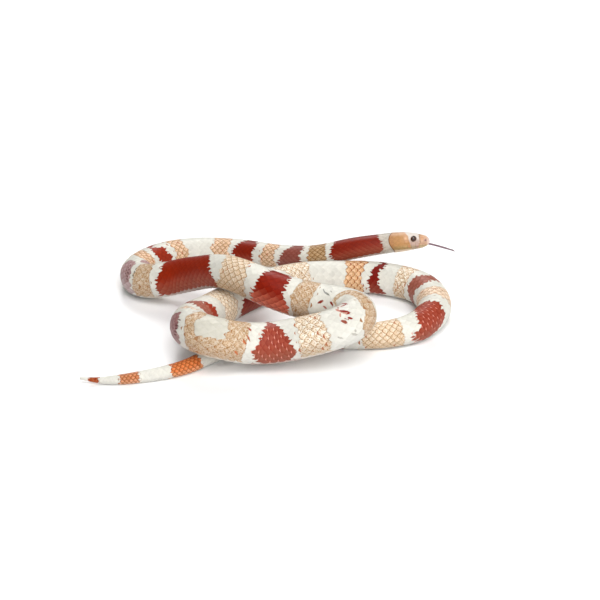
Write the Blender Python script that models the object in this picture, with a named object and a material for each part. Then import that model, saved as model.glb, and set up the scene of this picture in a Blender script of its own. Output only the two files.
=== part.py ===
"""A life-size model of an adult milk snake, lying in a loose coil with its head held up.

The body is one smooth line from the snout to the tip of the tail. A list of points gives its route
over the floor, a list of radii gives its girth, and every length of the body is lofted along them.
The head has its own sections. Its mouth, nostrils, eye sockets and tongue notch are cut into it.
All sizes are in millimetres until a mesh is made, and distances are counted back from the snout.
"""
import math

import bmesh
import bpy
import numpy as np

MM = 0.001

# Route of the body, hand chosen: x, y, and how high the belly is over the floor
HEAD_AND_NECK = [
    (97.0, 53.0, 23.0), (82.0, 52.6, 22.9), (68.0, 51.8, 21.4), (45.5, 53.8, 16.5),
    (25.0, 57.4, 10.2), (0.0, 67.6, 4.8),
]
BACK_STRETCH = [(-27.0, 81.4, 1.2), (-53.5, 83.0, 0.0), (-77.5, 71.5, 0.0)]
LEFT_BEND = [(-90.8, 52.0, 0.0), (-92.0, 41.0, 0.2), (-87.4, 31.0, 1.0), (-76.5, 25.0, 3.8)]
BRIDGE_OVER_COIL = [
    (-61.8, 21.2, 8.5), (-50.4, 13.2, 14.1), (-40.4, 3.6, 20.0), (-30.2, -6.6, 23.4),
    (-17.5, -17.4, 23.2), (-5.0, -25.6, 20.8), (11.0, -30.4, 16.8), (25.0, -34.0, 14.9),
]
TIGHT_FOLD = [(37.2, -38.6, 15.0), (45.4, -46.2, 15.8), (45.8, -57.0, 16.2), (38.0, -65.3, 14.4)]
FRONT_STRETCH = [
    (26.0, -67.6, 11.0), (4.0, -66.4, 4.8), (-9.0, -67.0, 3.4), (-25.0, -69.6, 6.0),
    (-34.0, -71.4, 9.2),
]
FRONT_BEND = [(-42.5, -69.4, 10.7), (-49.4, -62.6, 10.6), (-52.2, -53.2, 9.4), (-50.0, -41.5, 7.4)]
UNDER_THE_BRIDGE = [(-43.2, -24.0, 3.4), (-33.5, -4.0, 0.3), (-11.0, 22.4, 0.0)]
RIGHT_LOOP = [
    (13.0, 36.6, 0.0), (39.0, 39.8, 0.0), (65.4, 37.6, 0.0), (90.2, 22.0, 0.0),
    (96.6, -6.4, 0.0), (84.0, -31.0, 0.0), (64.5, -40.6, 0.0), (40.0, -42.2, 0.0),
]
TAIL = [
    (13.0, -39.6, 0.0), (-12.5, -43.4, 0.0), (-37.2, -60.2, 0.0), (-54.2, -76.4, 0.0),
    (-71.2, -84.8, 0.0), (-97.0, -90.4, 0.3), (-118.8, -88.4, 3.0),
]
ROUTE = (HEAD_AND_NECK + BACK_STRETCH + LEFT_BEND + BRIDGE_OVER_COIL + TIGHT_FOLD
         + FRONT_STRETCH + FRONT_BEND + UNDER_THE_BRIDGE + RIGHT_LOOP + TAIL)
COIL_MIDDLE = (-0.66, 0.22)  # middle of the coil's outline in the route's own x and y

# Girth: distance from the snout, and the radius of the body there
GIRTH = [
    (0, 7.1), (28, 7.15), (48, 7.5), (73, 7.6), (131, 9.0), (174, 10.4), (216, 11.3),
    (262, 11.7), (292, 11.2), (325, 11.6), (371, 12.4), (400, 12.4), (452, 13.1), (505, 12.5),
    (560, 11.9), (650, 11.1), (718, 11.0), (760, 10.1), (796, 8.8), (834, 7.6), (877, 6.4),
    (912, 5.1), (941, 4.2), (968, 3.1), (984, 1.5), (992, 0.7),
]
BACK_HEIGHT = 0.97  # parts of the radius: height of the back over the middle line
BELLY_CURVE = 0.93  # depth of the flanks' curve under it, if the belly were round
BELLY_FLAT = 0.84  # depth at which the belly is flat

# Lengths into which the body is divided: name and where each ends
SNAKE_LENGTH = 991.5
NECK_START = 26.0
LENGTHS = [
    ("neck", 92.0), ("trunk_01", 158.0), ("trunk_02", 208.0), ("trunk_03", 252.0),
    ("trunk_04", 318.0), ("trunk_05", 376.0), ("trunk_06", 426.0), ("trunk_07", 488.0),
    ("trunk_08", 534.0), ("trunk_09", 600.0), ("trunk_10", 672.0), ("trunk_11", 730.0),
    ("trunk_12", 778.0), ("trunk_13", 836.0), ("tail_1", 908.0), ("tail_2", SNAKE_LENGTH),
]
BODY_SIDES = 24
REST_REACH = 0.3  # a ring whose lowest point is under this height lies on the floor
REST_FLAT = 0.12  # and whatever is this close to that point is set flat
RING_STEP = 7.0  # most room between two rings on a straight
RING_TURN = 14.0  # most degrees that a bend turns between two rings
TURN_STEP = 3.0  # a bend is measured over steps of this length
PART_GAP = 0.3

# Head sections: distance from the snout, half width, top, bottom, squareness
HEAD_SECTIONS = [
    (0.0, 3.7, 3.2, 2.7, 0.90), (2.5, 4.0, 3.7, 3.3, 0.88), (5.0, 4.5, 4.3, 4.2, 0.84),
    (8.0, 5.2, 5.1, 4.8, 0.82), (10.5, 5.7, 5.6, 5.2, 0.82), (14.0, 6.5, 6.0, 5.8, 0.84),
    (18.0, 7.2, 6.4, 6.2, 0.86), (22.0, 7.4, 6.7, 6.3, 0.92), (26.0, 7.15, 6.88, 6.1, 0.98),
    (29.0, 7.1, 6.89, 6.0, 1.0),
]
SNOUT_ROUND = 3.0  # over this length the snout rounds off
HEAD_SIDES = 28
HEAD_RINGS = 19
HEAD_RING_EASE = 1.45  # rings stand closer together towards the snout
SNOUT_FACE = 0.12  # the first ring's distance from the tip
CHIN_DROP = 2.0  # room that the chin may reach under the belly's flat
CHIN_EASE = (20.0, 26.0)  # the chin's curve turns into the flat belly between these
HEAD_ROLL = 16.0  # degrees that the top of the head leans away from the low side
ROLL_ENDS = 75.0  # the neck has turned level again here

# Mouth: distance from the snout and height of its line over the head's middle line
MOUTH_LINE = [(-2.0, -1.6), (1.0, -1.75), (5.0, -2.5), (10.5, -3.3), (15.0, -3.6), (21.0, -2.7)]
JAW_BACK = [(22.3, -3.1), (23.4, -4.5), (24.0, -6.4), (24.2, -9.0)]  # the jaw ends behind the mouth's corner
JAW_STEPS = 14
BLOCK_DEPTH = 9.0
BLOCK_HALF_WIDTH = 10.0
LIP_SWELL = 0.28
LIP_BAND = 0.9
LIP_FADE = (16.0, 24.0)  # the lips run out between these distances
BROW_SWELL = 0.3
BROW_CENTRE = (10.7, 4.0)
BROW_REACH = (3.2, 1.3)

# Eyes, nostrils and tongue
EYE_BACK = 10.9
EYE_HEIGHT = 1.9
EYE_OUT = 4.4
EYE_RADII = (2.3, 1.65, 2.3)  # along the head, across it, upwards
NOSTRIL_BACK = 2.6
NOSTRIL_HEIGHT = 0.9
NOSTRIL_RADIUS = 0.5
NOSTRIL_FLOOR = 3.0
NOSTRIL_OUTSIDE = 5.5
NOSTRIL_SLANT = 0.4
TONGUE_OUT = 16.8
TONGUE_DROP = 5.6
TONGUE_ROOT = 1.5
TONGUE_HALF_WIDTH = 0.62
TONGUE_HALF_DEPTH = 0.42
TONGUE_TAPER = 0.012
TONGUE_SAG = 0.15  # the part of the drop that comes late
TONGUE_SIDES = 10
FORK_START = 11.6
FORK_SPREAD = 2.1
FORK_OVERLAP = 0.6
TINE_START = 0.24
TINE_HALF_WIDTH = 0.30
TINE_HALF_DEPTH = 0.36
TINE_TAPER = 0.68
NOTCH_HALF_WIDTH = 1.0
NOTCH_REACH = 4.0
LIP_FRONT = 0.6  # the tongue leaves the mouth at this distance
NOTCH_DEPTH = TONGUE_ROOT + PART_GAP


def smooth_through(where, stations, column=1):
    """Reads one column of a station list on a smooth curve that never overshoots its stations."""
    xs = np.array([row[0] for row in stations], float)
    ys = np.array([row[column] for row in stations], float)
    span = np.diff(xs)
    rise = np.diff(ys) / span
    slope = np.zeros(len(xs))
    product = rise[:-1] * rise[1:]
    total = np.where(product > 0, rise[:-1] + rise[1:], 1.0)
    slope[1:-1] = np.where(product > 0, 2 * product / total, 0.0)
    slope[0] = rise[0]
    slope[-1] = rise[-1]
    where = np.asarray(where, float)
    k = np.clip(np.searchsorted(xs, where) - 1, 0, len(span) - 1)
    t = (where - xs[k]) / span[k]
    start = (2 * t**3 - 3 * t**2 + 1) * ys[k] + (t**3 - 2 * t**2 + t) * span[k] * slope[k]
    end = (3 * t**2 - 2 * t**3) * ys[k + 1] + (t**3 - t**2) * span[k] * slope[k + 1]
    return start + end


def body_radius(distance):
    return smooth_through(distance, GIRTH)


def curve_through(points, steps=16):
    """A centripetal Catmull-Rom curve through the route's points, as a dense polyline."""
    ends = np.vstack([2 * points[0] - points[1], points, 2 * points[-1] - points[-2]])
    curve = []
    for p0, p1, p2, p3 in zip(ends, ends[1:], ends[2:], ends[3:]):
        t1 = np.linalg.norm(p1 - p0) ** 0.5
        t2 = t1 + np.linalg.norm(p2 - p1) ** 0.5
        t3 = t2 + np.linalg.norm(p3 - p2) ** 0.5
        for t in np.linspace(t1, t2, steps, endpoint=False):
            a1 = (t1 - t) / t1 * p0 + t / t1 * p1
            a2 = (t2 - t) / (t2 - t1) * p1 + (t - t1) / (t2 - t1) * p2
            a3 = (t3 - t) / (t3 - t2) * p2 + (t - t2) / (t3 - t2) * p3
            b1 = (t2 - t) / t2 * a1 + t / t2 * a2
            b2 = (t3 - t) / (t3 - t1) * a2 + (t - t1) / (t3 - t1) * a3
            curve.append((t2 - t) / (t2 - t1) * b1 + (t - t1) / (t2 - t1) * b2)
    curve.append(points[-1])
    return np.array(curve)


def lengths_along(points):
    steps = np.linalg.norm(np.diff(points, axis=0), axis=1)
    return np.concatenate([[0.0], np.cumsum(steps)])


def resampled(points, step):
    along = lengths_along(points)
    where = np.linspace(0.0, along[-1], int(round(along[-1] / step)) + 1)
    return np.array([np.interp(where, along, points[:, axis]) for axis in range(3)]).T


def eased(points, reach=6):
    """Averages the line over a few millimetres, so that no bend has a kink."""
    weights = np.hanning(2 * reach + 3)[1:-1]
    weights /= weights.sum()
    before = 2 * points[0] - points[1:reach + 1][::-1]
    after = 2 * points[-1] - points[-reach - 1:-1][::-1]
    padded = np.vstack([before, points, after])
    return np.array([np.convolve(padded[:, axis], weights, mode="valid") for axis in range(3)]).T


def middle_line():
    """The body's middle line, a point every millimetre, with its length and its direction."""
    points = np.array(ROUTE, float) - (COIL_MIDDLE[0], COIL_MIDDLE[1], 0.0)
    line = eased(resampled(curve_through(points), 1.0))
    along = lengths_along(line)
    for _ in range(2):
        raised = line.copy()
        raised[:, 2] += BELLY_FLAT * body_radius(along)
        along = lengths_along(raised)
    direction = np.gradient(raised, axis=0)
    direction /= np.linalg.norm(direction, axis=1)[:, None]
    return along, raised, direction


ALONG, LINE, DIRECTION = middle_line()


def roll_at(distance):
    """The head leans over by a few degrees, and the lean fades out along the neck."""
    fade = np.clip((distance - NECK_START) / (ROLL_ENDS - NECK_START), 0.0, 1.0)
    return math.radians(HEAD_ROLL) * (1.0 - fade * fade * (3.0 - 2.0 * fade))


def frame_at(distance):
    """Centre, backward direction, left and up of the body at a distance from the snout."""
    centre = np.array([np.interp(distance, ALONG, LINE[:, axis]) for axis in range(3)])
    back = np.array([np.interp(distance, ALONG, DIRECTION[:, axis]) for axis in range(3)])
    back /= np.linalg.norm(back)
    up = np.array([0.0, 0.0, 1.0]) - back * back[2]
    up /= np.linalg.norm(up)
    left = np.cross(back, up)
    roll = roll_at(distance)
    rolled_up = up * math.cos(roll) + left * math.sin(roll)
    rolled_left = left * math.cos(roll) - up * math.sin(roll)
    return centre, back, rolled_left, rolled_up


def body_section(distance, sides=BODY_SIDES):
    """Across and up values of one ring: round back and flanks, and a flat belly."""
    angle = np.arange(sides) * 2.0 * math.pi / sides
    radius = float(body_radius(distance))
    height = np.where(np.cos(angle) > 0, BACK_HEIGHT, BELLY_CURVE) * np.cos(angle)
    return np.sin(angle) * radius, np.maximum(height, -BELLY_FLAT) * radius


def head_section(distance, sides=HEAD_SIDES):
    """One ring of the head: squarer than the body, with lips, a brow and a rounded snout."""
    angle = np.arange(sides) * 2.0 * math.pi / sides
    half_width, top, bottom, square = (
        float(smooth_through(distance, HEAD_SECTIONS, column)) for column in (1, 2, 3, 4))
    rounding = 1.0
    if distance < SNOUT_ROUND:
        rounding = math.sqrt(1.0 - (1.0 - distance / SNOUT_ROUND) ** 2)
    sine = np.sin(angle)
    cosine = np.cos(angle)
    across = np.sign(sine) * np.abs(sine) ** square * half_width * rounding
    up = np.sign(cosine) * np.abs(cosine) ** square * np.where(cosine > 0, top, bottom) * rounding
    mouth = float(smooth_through(min(distance, MOUTH_LINE[-1][0]), MOUTH_LINE))
    fade = np.clip((LIP_FADE[1] - distance) / (LIP_FADE[1] - LIP_FADE[0]), 0.0, 1.0) * rounding
    lips = LIP_SWELL * fade * np.exp(-(((up - mouth) / LIP_BAND) ** 2))
    brow = BROW_SWELL * np.exp(-(((distance - BROW_CENTRE[0]) / BROW_REACH[0]) ** 2)
                               - ((up - BROW_CENTRE[1]) / BROW_REACH[1]) ** 2)
    across += np.sign(sine) * np.abs(sine) * (lips + brow)
    flat = -BELLY_FLAT * float(body_radius(distance))
    ease = np.clip((distance - CHIN_EASE[0]) / (CHIN_EASE[1] - CHIN_EASE[0]), 0.0, 1.0)
    return across, np.maximum(up, flat - (1.0 - ease) * CHIN_DROP)


def placed(distance, across, up, ahead=0.0):
    """Takes across and up values at a distance from the snout to points in space."""
    centre, back, left, rise = frame_at(distance)
    return centre + back * ahead + np.outer(across, left) + np.outer(up, rise)


def head_point(distance, across, up):
    """A point of the head, read in the straight frame of its middle."""
    centre, back, left, rise = frame_at(EYE_BACK)
    return centre + back * (distance - EYE_BACK) + left * across + rise * up


def rested(ring, distance):
    """Sets a ring that lies on the floor flat on it."""
    lowest = ring[:, 2].min()
    if distance > NECK_START and lowest < REST_REACH:
        ring = ring.copy()
        ring[ring[:, 2] < lowest + REST_FLAT, 2] = 0.0
        ring[:, 2] = np.maximum(ring[:, 2], 0.0)
    return ring


def material(name, colour, roughness):
    made = bpy.data.materials.new(name)
    made.use_nodes = True
    shader = made.node_tree.nodes["Principled BSDF"]
    linear = [((c + 0.055) / 1.055) ** 2.4 if c > 0.04045 else c / 12.92 for c in colour]
    shader.inputs["Base Color"].default_value = (*linear, 1.0)
    shader.inputs["Roughness"].default_value = roughness
    shader.inputs["Metallic"].default_value = 0.0
    made.diffuse_color = (*linear, 1.0)
    return made


def new_object(name, mesh, collection):
    made = bpy.data.objects.new(name, mesh)
    collection.objects.link(made)
    return made


def loft(name, rings, collection):
    """Joins rings of equal count into one closed skin, with a flat face at each end."""
    bm = bmesh.new()
    loops = [[bm.verts.new(point * MM) for point in ring] for ring in rings]
    for near, far in zip(loops, loops[1:]):
        for k in range(len(near)):
            after = (k + 1) % len(near)
            bm.faces.new((near[k], near[after], far[after], far[k]))
    bm.faces.new(loops[0])
    bm.faces.new(loops[-1])
    bmesh.ops.recalc_face_normals(bm, faces=bm.faces)
    mesh = bpy.data.meshes.new(name)
    bm.to_mesh(mesh)
    bm.free()
    mesh.shade_smooth()
    mesh.set_sharp_from_angle(angle=math.radians(50))
    return new_object(name, mesh, collection)


def cut(piece, tool, operation="DIFFERENCE"):
    modifier = piece.modifiers.new(tool.name, "BOOLEAN")
    modifier.operation = operation
    modifier.object = tool


def as_cutter(tool):
    tool.hide_render = True
    tool.display_type = "WIRE"
    return tool


def ball(name, centre, axes, radii, collection):
    """An egg with its own three axes and radii."""
    bm = bmesh.new()
    bmesh.ops.create_uvsphere(bm, u_segments=16, v_segments=9, radius=1.0)
    for vertex in bm.verts:
        point = centre + sum(axes[k] * radii[k] * vertex.co[k] for k in range(3))
        vertex.co = point * MM
    bmesh.ops.recalc_face_normals(bm, faces=bm.faces)
    mesh = bpy.data.meshes.new(name)
    bm.to_mesh(mesh)
    bm.free()
    mesh.shade_smooth()
    return new_object(name, mesh, collection)


def rod(name, start, end, radius, collection, sides=10):
    """A straight round rod between two points."""
    axis = (end - start) / np.linalg.norm(end - start)
    side = np.cross(axis, (0.0, 0.0, 1.0))
    side /= np.linalg.norm(side)
    other = np.cross(axis, side)
    turn = np.arange(sides) * 2.0 * math.pi / sides
    ring = np.outer(np.cos(turn), side) * radius + np.outer(np.sin(turn), other) * radius
    return loft(name, [start + ring, end + ring], collection)


def jaw_block(name, offset, collection):
    """Everything under the mouth's line and in front of the jaw's back, moved down by an offset."""
    distances = np.linspace(MOUTH_LINE[0][0], MOUTH_LINE[-1][0], JAW_STEPS)
    line = [(d, float(smooth_through(d, MOUTH_LINE))) for d in distances] + JAW_BACK
    line = np.array(line)
    along = np.gradient(line, axis=0)
    along /= np.linalg.norm(along, axis=1)[:, None]
    inward = np.stack([along[:, 1], -along[:, 0]], axis=1)
    edge = line + inward * offset
    outline = [(edge[0][0], -BLOCK_DEPTH)] + [tuple(point) for point in edge]
    rings = [np.array([head_point(d, across, up) for d, up in outline])
             for across in (-BLOCK_HALF_WIDTH, BLOCK_HALF_WIDTH)]
    return as_cutter(loft(name, rings, collection))


def make_head(parts, tools):
    """Upper head and lower jaw, parted along the mouth, with sockets, nostrils and a notch."""
    end = NECK_START - PART_GAP / 2
    spacing = (np.arange(HEAD_RINGS + 1) / HEAD_RINGS) ** HEAD_RING_EASE
    distances = SNOUT_FACE + spacing * (end - SNOUT_FACE)
    rings = [placed(d, *head_section(d)) for d in distances]
    head = loft("head", rings, parts)
    jaw = new_object("lower_jaw", head.data.copy(), parts)
    cut(head, jaw_block("space_of_jaw", -PART_GAP / 2, tools))
    cut(jaw, jaw_block("reach_of_jaw", PART_GAP / 2, tools), "INTERSECT")

    _, back, left, rise = frame_at(EYE_BACK)
    for side, name in ((1, "left"), (-1, "right")):
        centre = head_point(EYE_BACK, side * EYE_OUT, EYE_HEIGHT)
        axes = (back, left, rise)
        ball(f"eye_{name}", centre, axes, EYE_RADII, parts)
        room = tuple(radius + PART_GAP for radius in EYE_RADII)
        cut(head, as_cutter(ball(f"socket_{name}", centre, axes, room, tools)))
        outside = head_point(NOSTRIL_BACK, side * NOSTRIL_OUTSIDE, NOSTRIL_HEIGHT)
        floor = head_point(NOSTRIL_BACK + NOSTRIL_SLANT, side * NOSTRIL_FLOOR, NOSTRIL_HEIGHT)
        nostril = rod(f"nostril_{name}", outside, floor, NOSTRIL_RADIUS, tools)
        cut(head, as_cutter(nostril))

    notch_start = tongue_point(-NOTCH_DEPTH)
    notch_end = tongue_point(NOTCH_REACH)
    notch = rod("tongue_notch", notch_start, notch_end, NOTCH_HALF_WIDTH, tools, sides=12)
    as_cutter(notch)
    cut(head, notch)
    cut(jaw, notch)


def tongue_point(out):
    """A point on the tongue's middle line: from the front of the mouth, gently down."""
    start = head_point(LIP_FRONT, 0.0, MOUTH_LINE[1][1])
    ahead = -frame_at(EYE_BACK)[1]
    t = out / TONGUE_OUT
    drop = TONGUE_DROP * ((1.0 - TONGUE_SAG) * t + TONGUE_SAG * t * abs(t))
    return start + ahead * out + np.array([0.0, 0.0, -drop])


def make_tongue(parts, tools):
    """A flat tongue that parts into two thin tines."""
    _, _, left, rise = frame_at(EYE_BACK)
    turn = np.arange(TONGUE_SIDES) * 2.0 * math.pi / TONGUE_SIDES

    def ring(out, across, half_width, half_depth):
        oval = np.outer(np.cos(turn) * half_width, left) + np.outer(np.sin(turn) * half_depth, rise)
        return tongue_point(out) + left * across + oval

    stem_end = FORK_START + FORK_OVERLAP
    stem = [ring(out, 0.0, TONGUE_HALF_WIDTH * (1.0 - TONGUE_TAPER * out), TONGUE_HALF_DEPTH)
            for out in np.linspace(-TONGUE_ROOT, stem_end, 9)]
    tongue = loft("tongue", stem, parts)
    for side, name in ((1, "left"), (-1, "right")):
        tine = []
        for t in np.linspace(0.0, 1.0, 7):
            out = FORK_START - FORK_OVERLAP + t * (TONGUE_OUT - FORK_START + FORK_OVERLAP)
            thin = 1.0 - TINE_TAPER * t
            across = side * (TINE_START + FORK_SPREAD * t**1.6)
            tine.append(ring(out, across, TINE_HALF_WIDTH * thin, TINE_HALF_DEPTH * thin))
        cut(tongue, as_cutter(loft(f"tine_{name}", tine, tools)), "UNION")


def make_length(name, start, end, parts):
    """One length of the body, with a flat face at each end and half a gap left there."""
    backward = [frame_at(distance)[1] for distance in np.arange(start, end, TURN_STEP)]
    turned = sum(math.degrees(math.acos(min(1.0, float(a @ b)))) for a, b in zip(backward, backward[1:]))
    count = int(math.ceil(max((end - start) / RING_STEP, turned / RING_TURN))) + 1
    distances = np.linspace(start, end, count)
    rings = []
    for k, distance in enumerate(distances):
        ahead = 0.0
        if k == 0:
            ahead = PART_GAP / 2
        if k == count - 1 and end < SNAKE_LENGTH:
            ahead = -PART_GAP / 2
        rings.append(rested(placed(distance, *body_section(distance), ahead), distance))
    return loft(name, rings, parts)


SKIN_COLOURS = {
    "head": (0.82, 0.63, 0.40), "lower_jaw": (0.87, 0.74, 0.58),
    "eye_left": (0.10, 0.06, 0.05), "eye_right": (0.10, 0.06, 0.05), "tongue": (0.45, 0.30, 0.34),
    "neck": (0.58, 0.15, 0.10), "trunk_01": (0.90, 0.82, 0.70), "trunk_02": (0.60, 0.17, 0.12),
    "trunk_03": (0.58, 0.15, 0.10), "trunk_04": (0.90, 0.82, 0.70), "trunk_05": (0.88, 0.78, 0.62),
    "trunk_06": (0.93, 0.91, 0.87), "trunk_07": (0.62, 0.20, 0.15), "trunk_08": (0.88, 0.80, 0.68),
    "trunk_09": (0.60, 0.18, 0.14), "trunk_10": (0.92, 0.90, 0.84), "trunk_11": (0.88, 0.78, 0.62),
    "trunk_12": (0.66, 0.24, 0.18), "trunk_13": (0.90, 0.86, 0.78), "tail_1": (0.90, 0.84, 0.74),
    "tail_2": (0.86, 0.50, 0.28),
}
SKIN_ROUGHNESS = 0.42
WET_ROUGHNESS = 0.12


def main():
    for old in list(bpy.data.objects):
        bpy.data.objects.remove(old, do_unlink=True)
    parts = bpy.data.collections.new("milk_snake")
    tools = bpy.data.collections.new("cutters")
    bpy.context.scene.collection.children.link(parts)
    bpy.context.scene.collection.children.link(tools)

    make_head(parts, tools)
    make_tongue(parts, tools)
    start = NECK_START
    for name, end in LENGTHS:
        make_length(name, start, end, parts)
        start = end

    for piece in parts.objects:
        wet = piece.name.startswith(("eye", "tongue"))
        roughness = WET_ROUGHNESS if wet else SKIN_ROUGHNESS
        piece.data.materials.append(material(piece.name, SKIN_COLOURS[piece.name], roughness))


main()
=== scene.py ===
import math
from types import SimpleNamespace

import bmesh
import bpy
import numpy as np
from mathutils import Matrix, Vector
from mathutils.kdtree import KDTree


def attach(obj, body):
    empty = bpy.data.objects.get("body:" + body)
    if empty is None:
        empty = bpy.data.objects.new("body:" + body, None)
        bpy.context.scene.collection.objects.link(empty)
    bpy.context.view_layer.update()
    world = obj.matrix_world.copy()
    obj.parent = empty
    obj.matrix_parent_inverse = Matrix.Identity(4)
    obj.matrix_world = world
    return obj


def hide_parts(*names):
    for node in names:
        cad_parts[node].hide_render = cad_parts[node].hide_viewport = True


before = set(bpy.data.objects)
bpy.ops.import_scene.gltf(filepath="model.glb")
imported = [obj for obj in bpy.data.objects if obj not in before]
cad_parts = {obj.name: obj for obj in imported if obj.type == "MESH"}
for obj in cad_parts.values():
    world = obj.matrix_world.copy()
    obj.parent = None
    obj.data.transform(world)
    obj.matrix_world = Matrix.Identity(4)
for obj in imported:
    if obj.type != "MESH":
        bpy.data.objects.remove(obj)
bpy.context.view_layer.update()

MM = 0.001

# The body's route: x, y and the height of the belly over the floor, in millimetres, as in the solids
HEAD_AND_NECK = [
    (97.0, 53.0, 23.0), (82.0, 52.6, 22.9), (68.0, 51.8, 21.4), (45.5, 53.8, 16.5),
    (25.0, 57.4, 10.2), (0.0, 67.6, 4.8),
]
BACK_STRETCH = [(-27.0, 81.4, 1.2), (-53.5, 83.0, 0.0), (-77.5, 71.5, 0.0)]
LEFT_BEND = [(-90.8, 52.0, 0.0), (-92.0, 41.0, 0.2), (-87.4, 31.0, 1.0), (-76.5, 25.0, 3.8)]
BRIDGE_OVER_COIL = [
    (-61.8, 21.2, 8.5), (-50.4, 13.2, 14.1), (-40.4, 3.6, 20.0), (-30.2, -6.6, 23.4),
    (-17.5, -17.4, 23.2), (-5.0, -25.6, 20.8), (11.0, -30.4, 16.8), (25.0, -34.0, 14.9),
]
TIGHT_FOLD = [(37.2, -38.6, 15.0), (45.4, -46.2, 15.8), (45.8, -57.0, 16.2), (38.0, -65.3, 14.4)]
FRONT_STRETCH = [
    (26.0, -67.6, 11.0), (4.0, -66.4, 4.8), (-9.0, -67.0, 3.4), (-25.0, -69.6, 6.0),
    (-34.0, -71.4, 9.2),
]
FRONT_BEND = [(-42.5, -69.4, 10.7), (-49.4, -62.6, 10.6), (-52.2, -53.2, 9.4), (-50.0, -41.5, 7.4)]
UNDER_THE_BRIDGE = [(-43.2, -24.0, 3.4), (-33.5, -4.0, 0.3), (-11.0, 22.4, 0.0)]
RIGHT_LOOP = [
    (13.0, 36.6, 0.0), (39.0, 39.8, 0.0), (65.4, 37.6, 0.0), (90.2, 22.0, 0.0),
    (96.6, -6.4, 0.0), (84.0, -31.0, 0.0), (64.5, -40.6, 0.0), (40.0, -42.2, 0.0),
]
TAIL = [
    (13.0, -39.6, 0.0), (-12.5, -43.4, 0.0), (-37.2, -60.2, 0.0), (-54.2, -76.4, 0.0),
    (-71.2, -84.8, 0.0), (-97.0, -90.4, 0.3), (-118.8, -88.4, 3.0),
]
ROUTE = (HEAD_AND_NECK + BACK_STRETCH + LEFT_BEND + BRIDGE_OVER_COIL + TIGHT_FOLD
         + FRONT_STRETCH + FRONT_BEND + UNDER_THE_BRIDGE + RIGHT_LOOP + TAIL)
COIL_MIDDLE = (-0.66, 0.22)
# Radius of the body, by distance back from the snout
GIRTH = [
    (0, 7.1), (28, 7.15), (48, 7.5), (73, 7.6), (131, 9.0), (174, 10.4), (216, 11.3),
    (262, 11.7), (292, 11.2), (325, 11.6), (371, 12.4), (400, 12.4), (452, 13.1), (505, 12.5),
    (560, 11.9), (650, 11.1), (718, 11.0), (760, 10.1), (796, 8.8), (834, 7.6), (877, 6.4),
    (912, 5.1), (941, 4.2), (968, 3.1), (984, 1.5), (992, 0.7),
]
BACK_HEIGHT, BELLY_CURVE, BELLY_FLAT = 0.97, 0.93, 0.84  # parts of the radius over and under
SNAKE_LENGTH = 991.5
NECK_START = 26.0
HEAD_ROLL = 16.0  # degrees that the top of the head leans away from the low side
ROLL_ENDS = 75.0  # the neck has turned level again here
# Sections of the head: distance, half width, height, depth, and the power that squares them off
HEAD_SECTIONS = [
    (0.0, 3.7, 3.2, 2.7, 0.90), (2.5, 4.0, 3.7, 3.3, 0.88), (5.0, 4.5, 4.3, 4.2, 0.84),
    (8.0, 5.2, 5.1, 4.8, 0.82), (10.5, 5.7, 5.6, 5.2, 0.82), (14.0, 6.5, 6.0, 5.8, 0.84),
    (18.0, 7.2, 6.4, 6.2, 0.86), (22.0, 7.4, 6.7, 6.3, 0.92), (26.0, 7.15, 6.88, 6.1, 0.98),
    (29.0, 7.1, 6.89, 6.0, 1.0),
]
SNOUT_ROUND = 3.0  # over this length the snout rounds off
CHIN_DROP = 2.0  # room that the chin may reach under the belly's flat
CHIN_EASE = (20.0, 26.0)  # the chin's curve turns into the flat belly between these
MOUTH_LINE = [(-2.0, -1.6), (1.0, -1.75), (5.0, -2.5), (10.5, -3.3), (15.0, -3.6), (21.0, -2.7)]
LIP_SWELL, LIP_BAND, LIP_FADE = 0.28, 0.9, (16.0, 24.0)
BROW_SWELL, BROW_CENTRE, BROW_REACH = 0.3, (10.7, 4.0), (3.2, 1.3)
LIP_FRONT = 0.6  # the tongue leaves the mouth at this distance
# Eye, nostril and tongue differ from the solids' by a few tenths, to match the photograph
EYE_BACK, EYE_HEIGHT, EYE_OUT = 11.1, 2.1, 4.35
EYE_RADII = (2.35, 1.65, 2.12)  # along the head, outwards and upwards
EYE_OPENING = 1.82
NOSTRIL_BACK, NOSTRIL_HEIGHT = 3.1, 1.15
TONGUE_OUT, TONGUE_DROP, TONGUE_ROOT, TONGUE_SAG = 16.8, 5.6, 1.5, 0.15
TONGUE_HALF_WIDTH, TONGUE_HALF_DEPTH, TONGUE_TAPER = 0.88, 0.68, 0.012
TONGUE_SIDES = 16
FORK_START, FORK_SPREAD, FORK_OVERLAP = 11.6, 2.1, 0.6
TINE_START, TINE_HALF_WIDTH, TINE_HALF_DEPTH, TINE_TAPER = 0.34, 0.46, 0.55, 0.52

# Skin, scales and plates, in millimetres and degrees
BODY_SKIN_SIDES, BODY_SKIN_STEP = 64, 1.5
SKIN_DEPTH = 0.42  # how far the skin lies inside the solids, under scales of the usual size
SCALE_PITCH = 4.7  # length of one scale's step along a body of the usual girth
PITCH_GIRTH = 12.6  # the usual girth
PITCH_POWER = 0.5  # scales get smaller more slowly than the body does
BACK_HALF_ANGLE = 128.0  # back and flanks carry small scales up to this turn, the belly wide ones
SCALE_ROWS = [  # rows of scales round the back, up to this distance
    (600.0, 21), (714.0, 19), (838.0, 17), (872.0, 15), (905.0, 13), (939.0, 11), (968.0, 9),
    (986.0, 7),
]
COAT_STARTS = 19.6  # the small scales begin behind the head shields
BARE_TIP = (984.0, 989.0)  # the skin comes up to the surface where the scales end
COAT_PARTS = [19.0, 178.0, 330.0, 480.0, 640.0, 812.0, 991.5]  # the coat is cut at these distances
FIT_STARTS, FIT_ENDS, FIT_STEP = 18.0, 29.0, 0.5  # here the coat follows the head's sections
SCALE_SIDES = 12
SCALE_HALF_LENGTH, SCALE_HALF_WIDTH = 0.62, 0.98  # in steps and in widths of a row: scales overlap
SCALE_RELIEF = 0.16  # how far the hind edge of a scale stands over its front edge
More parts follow.
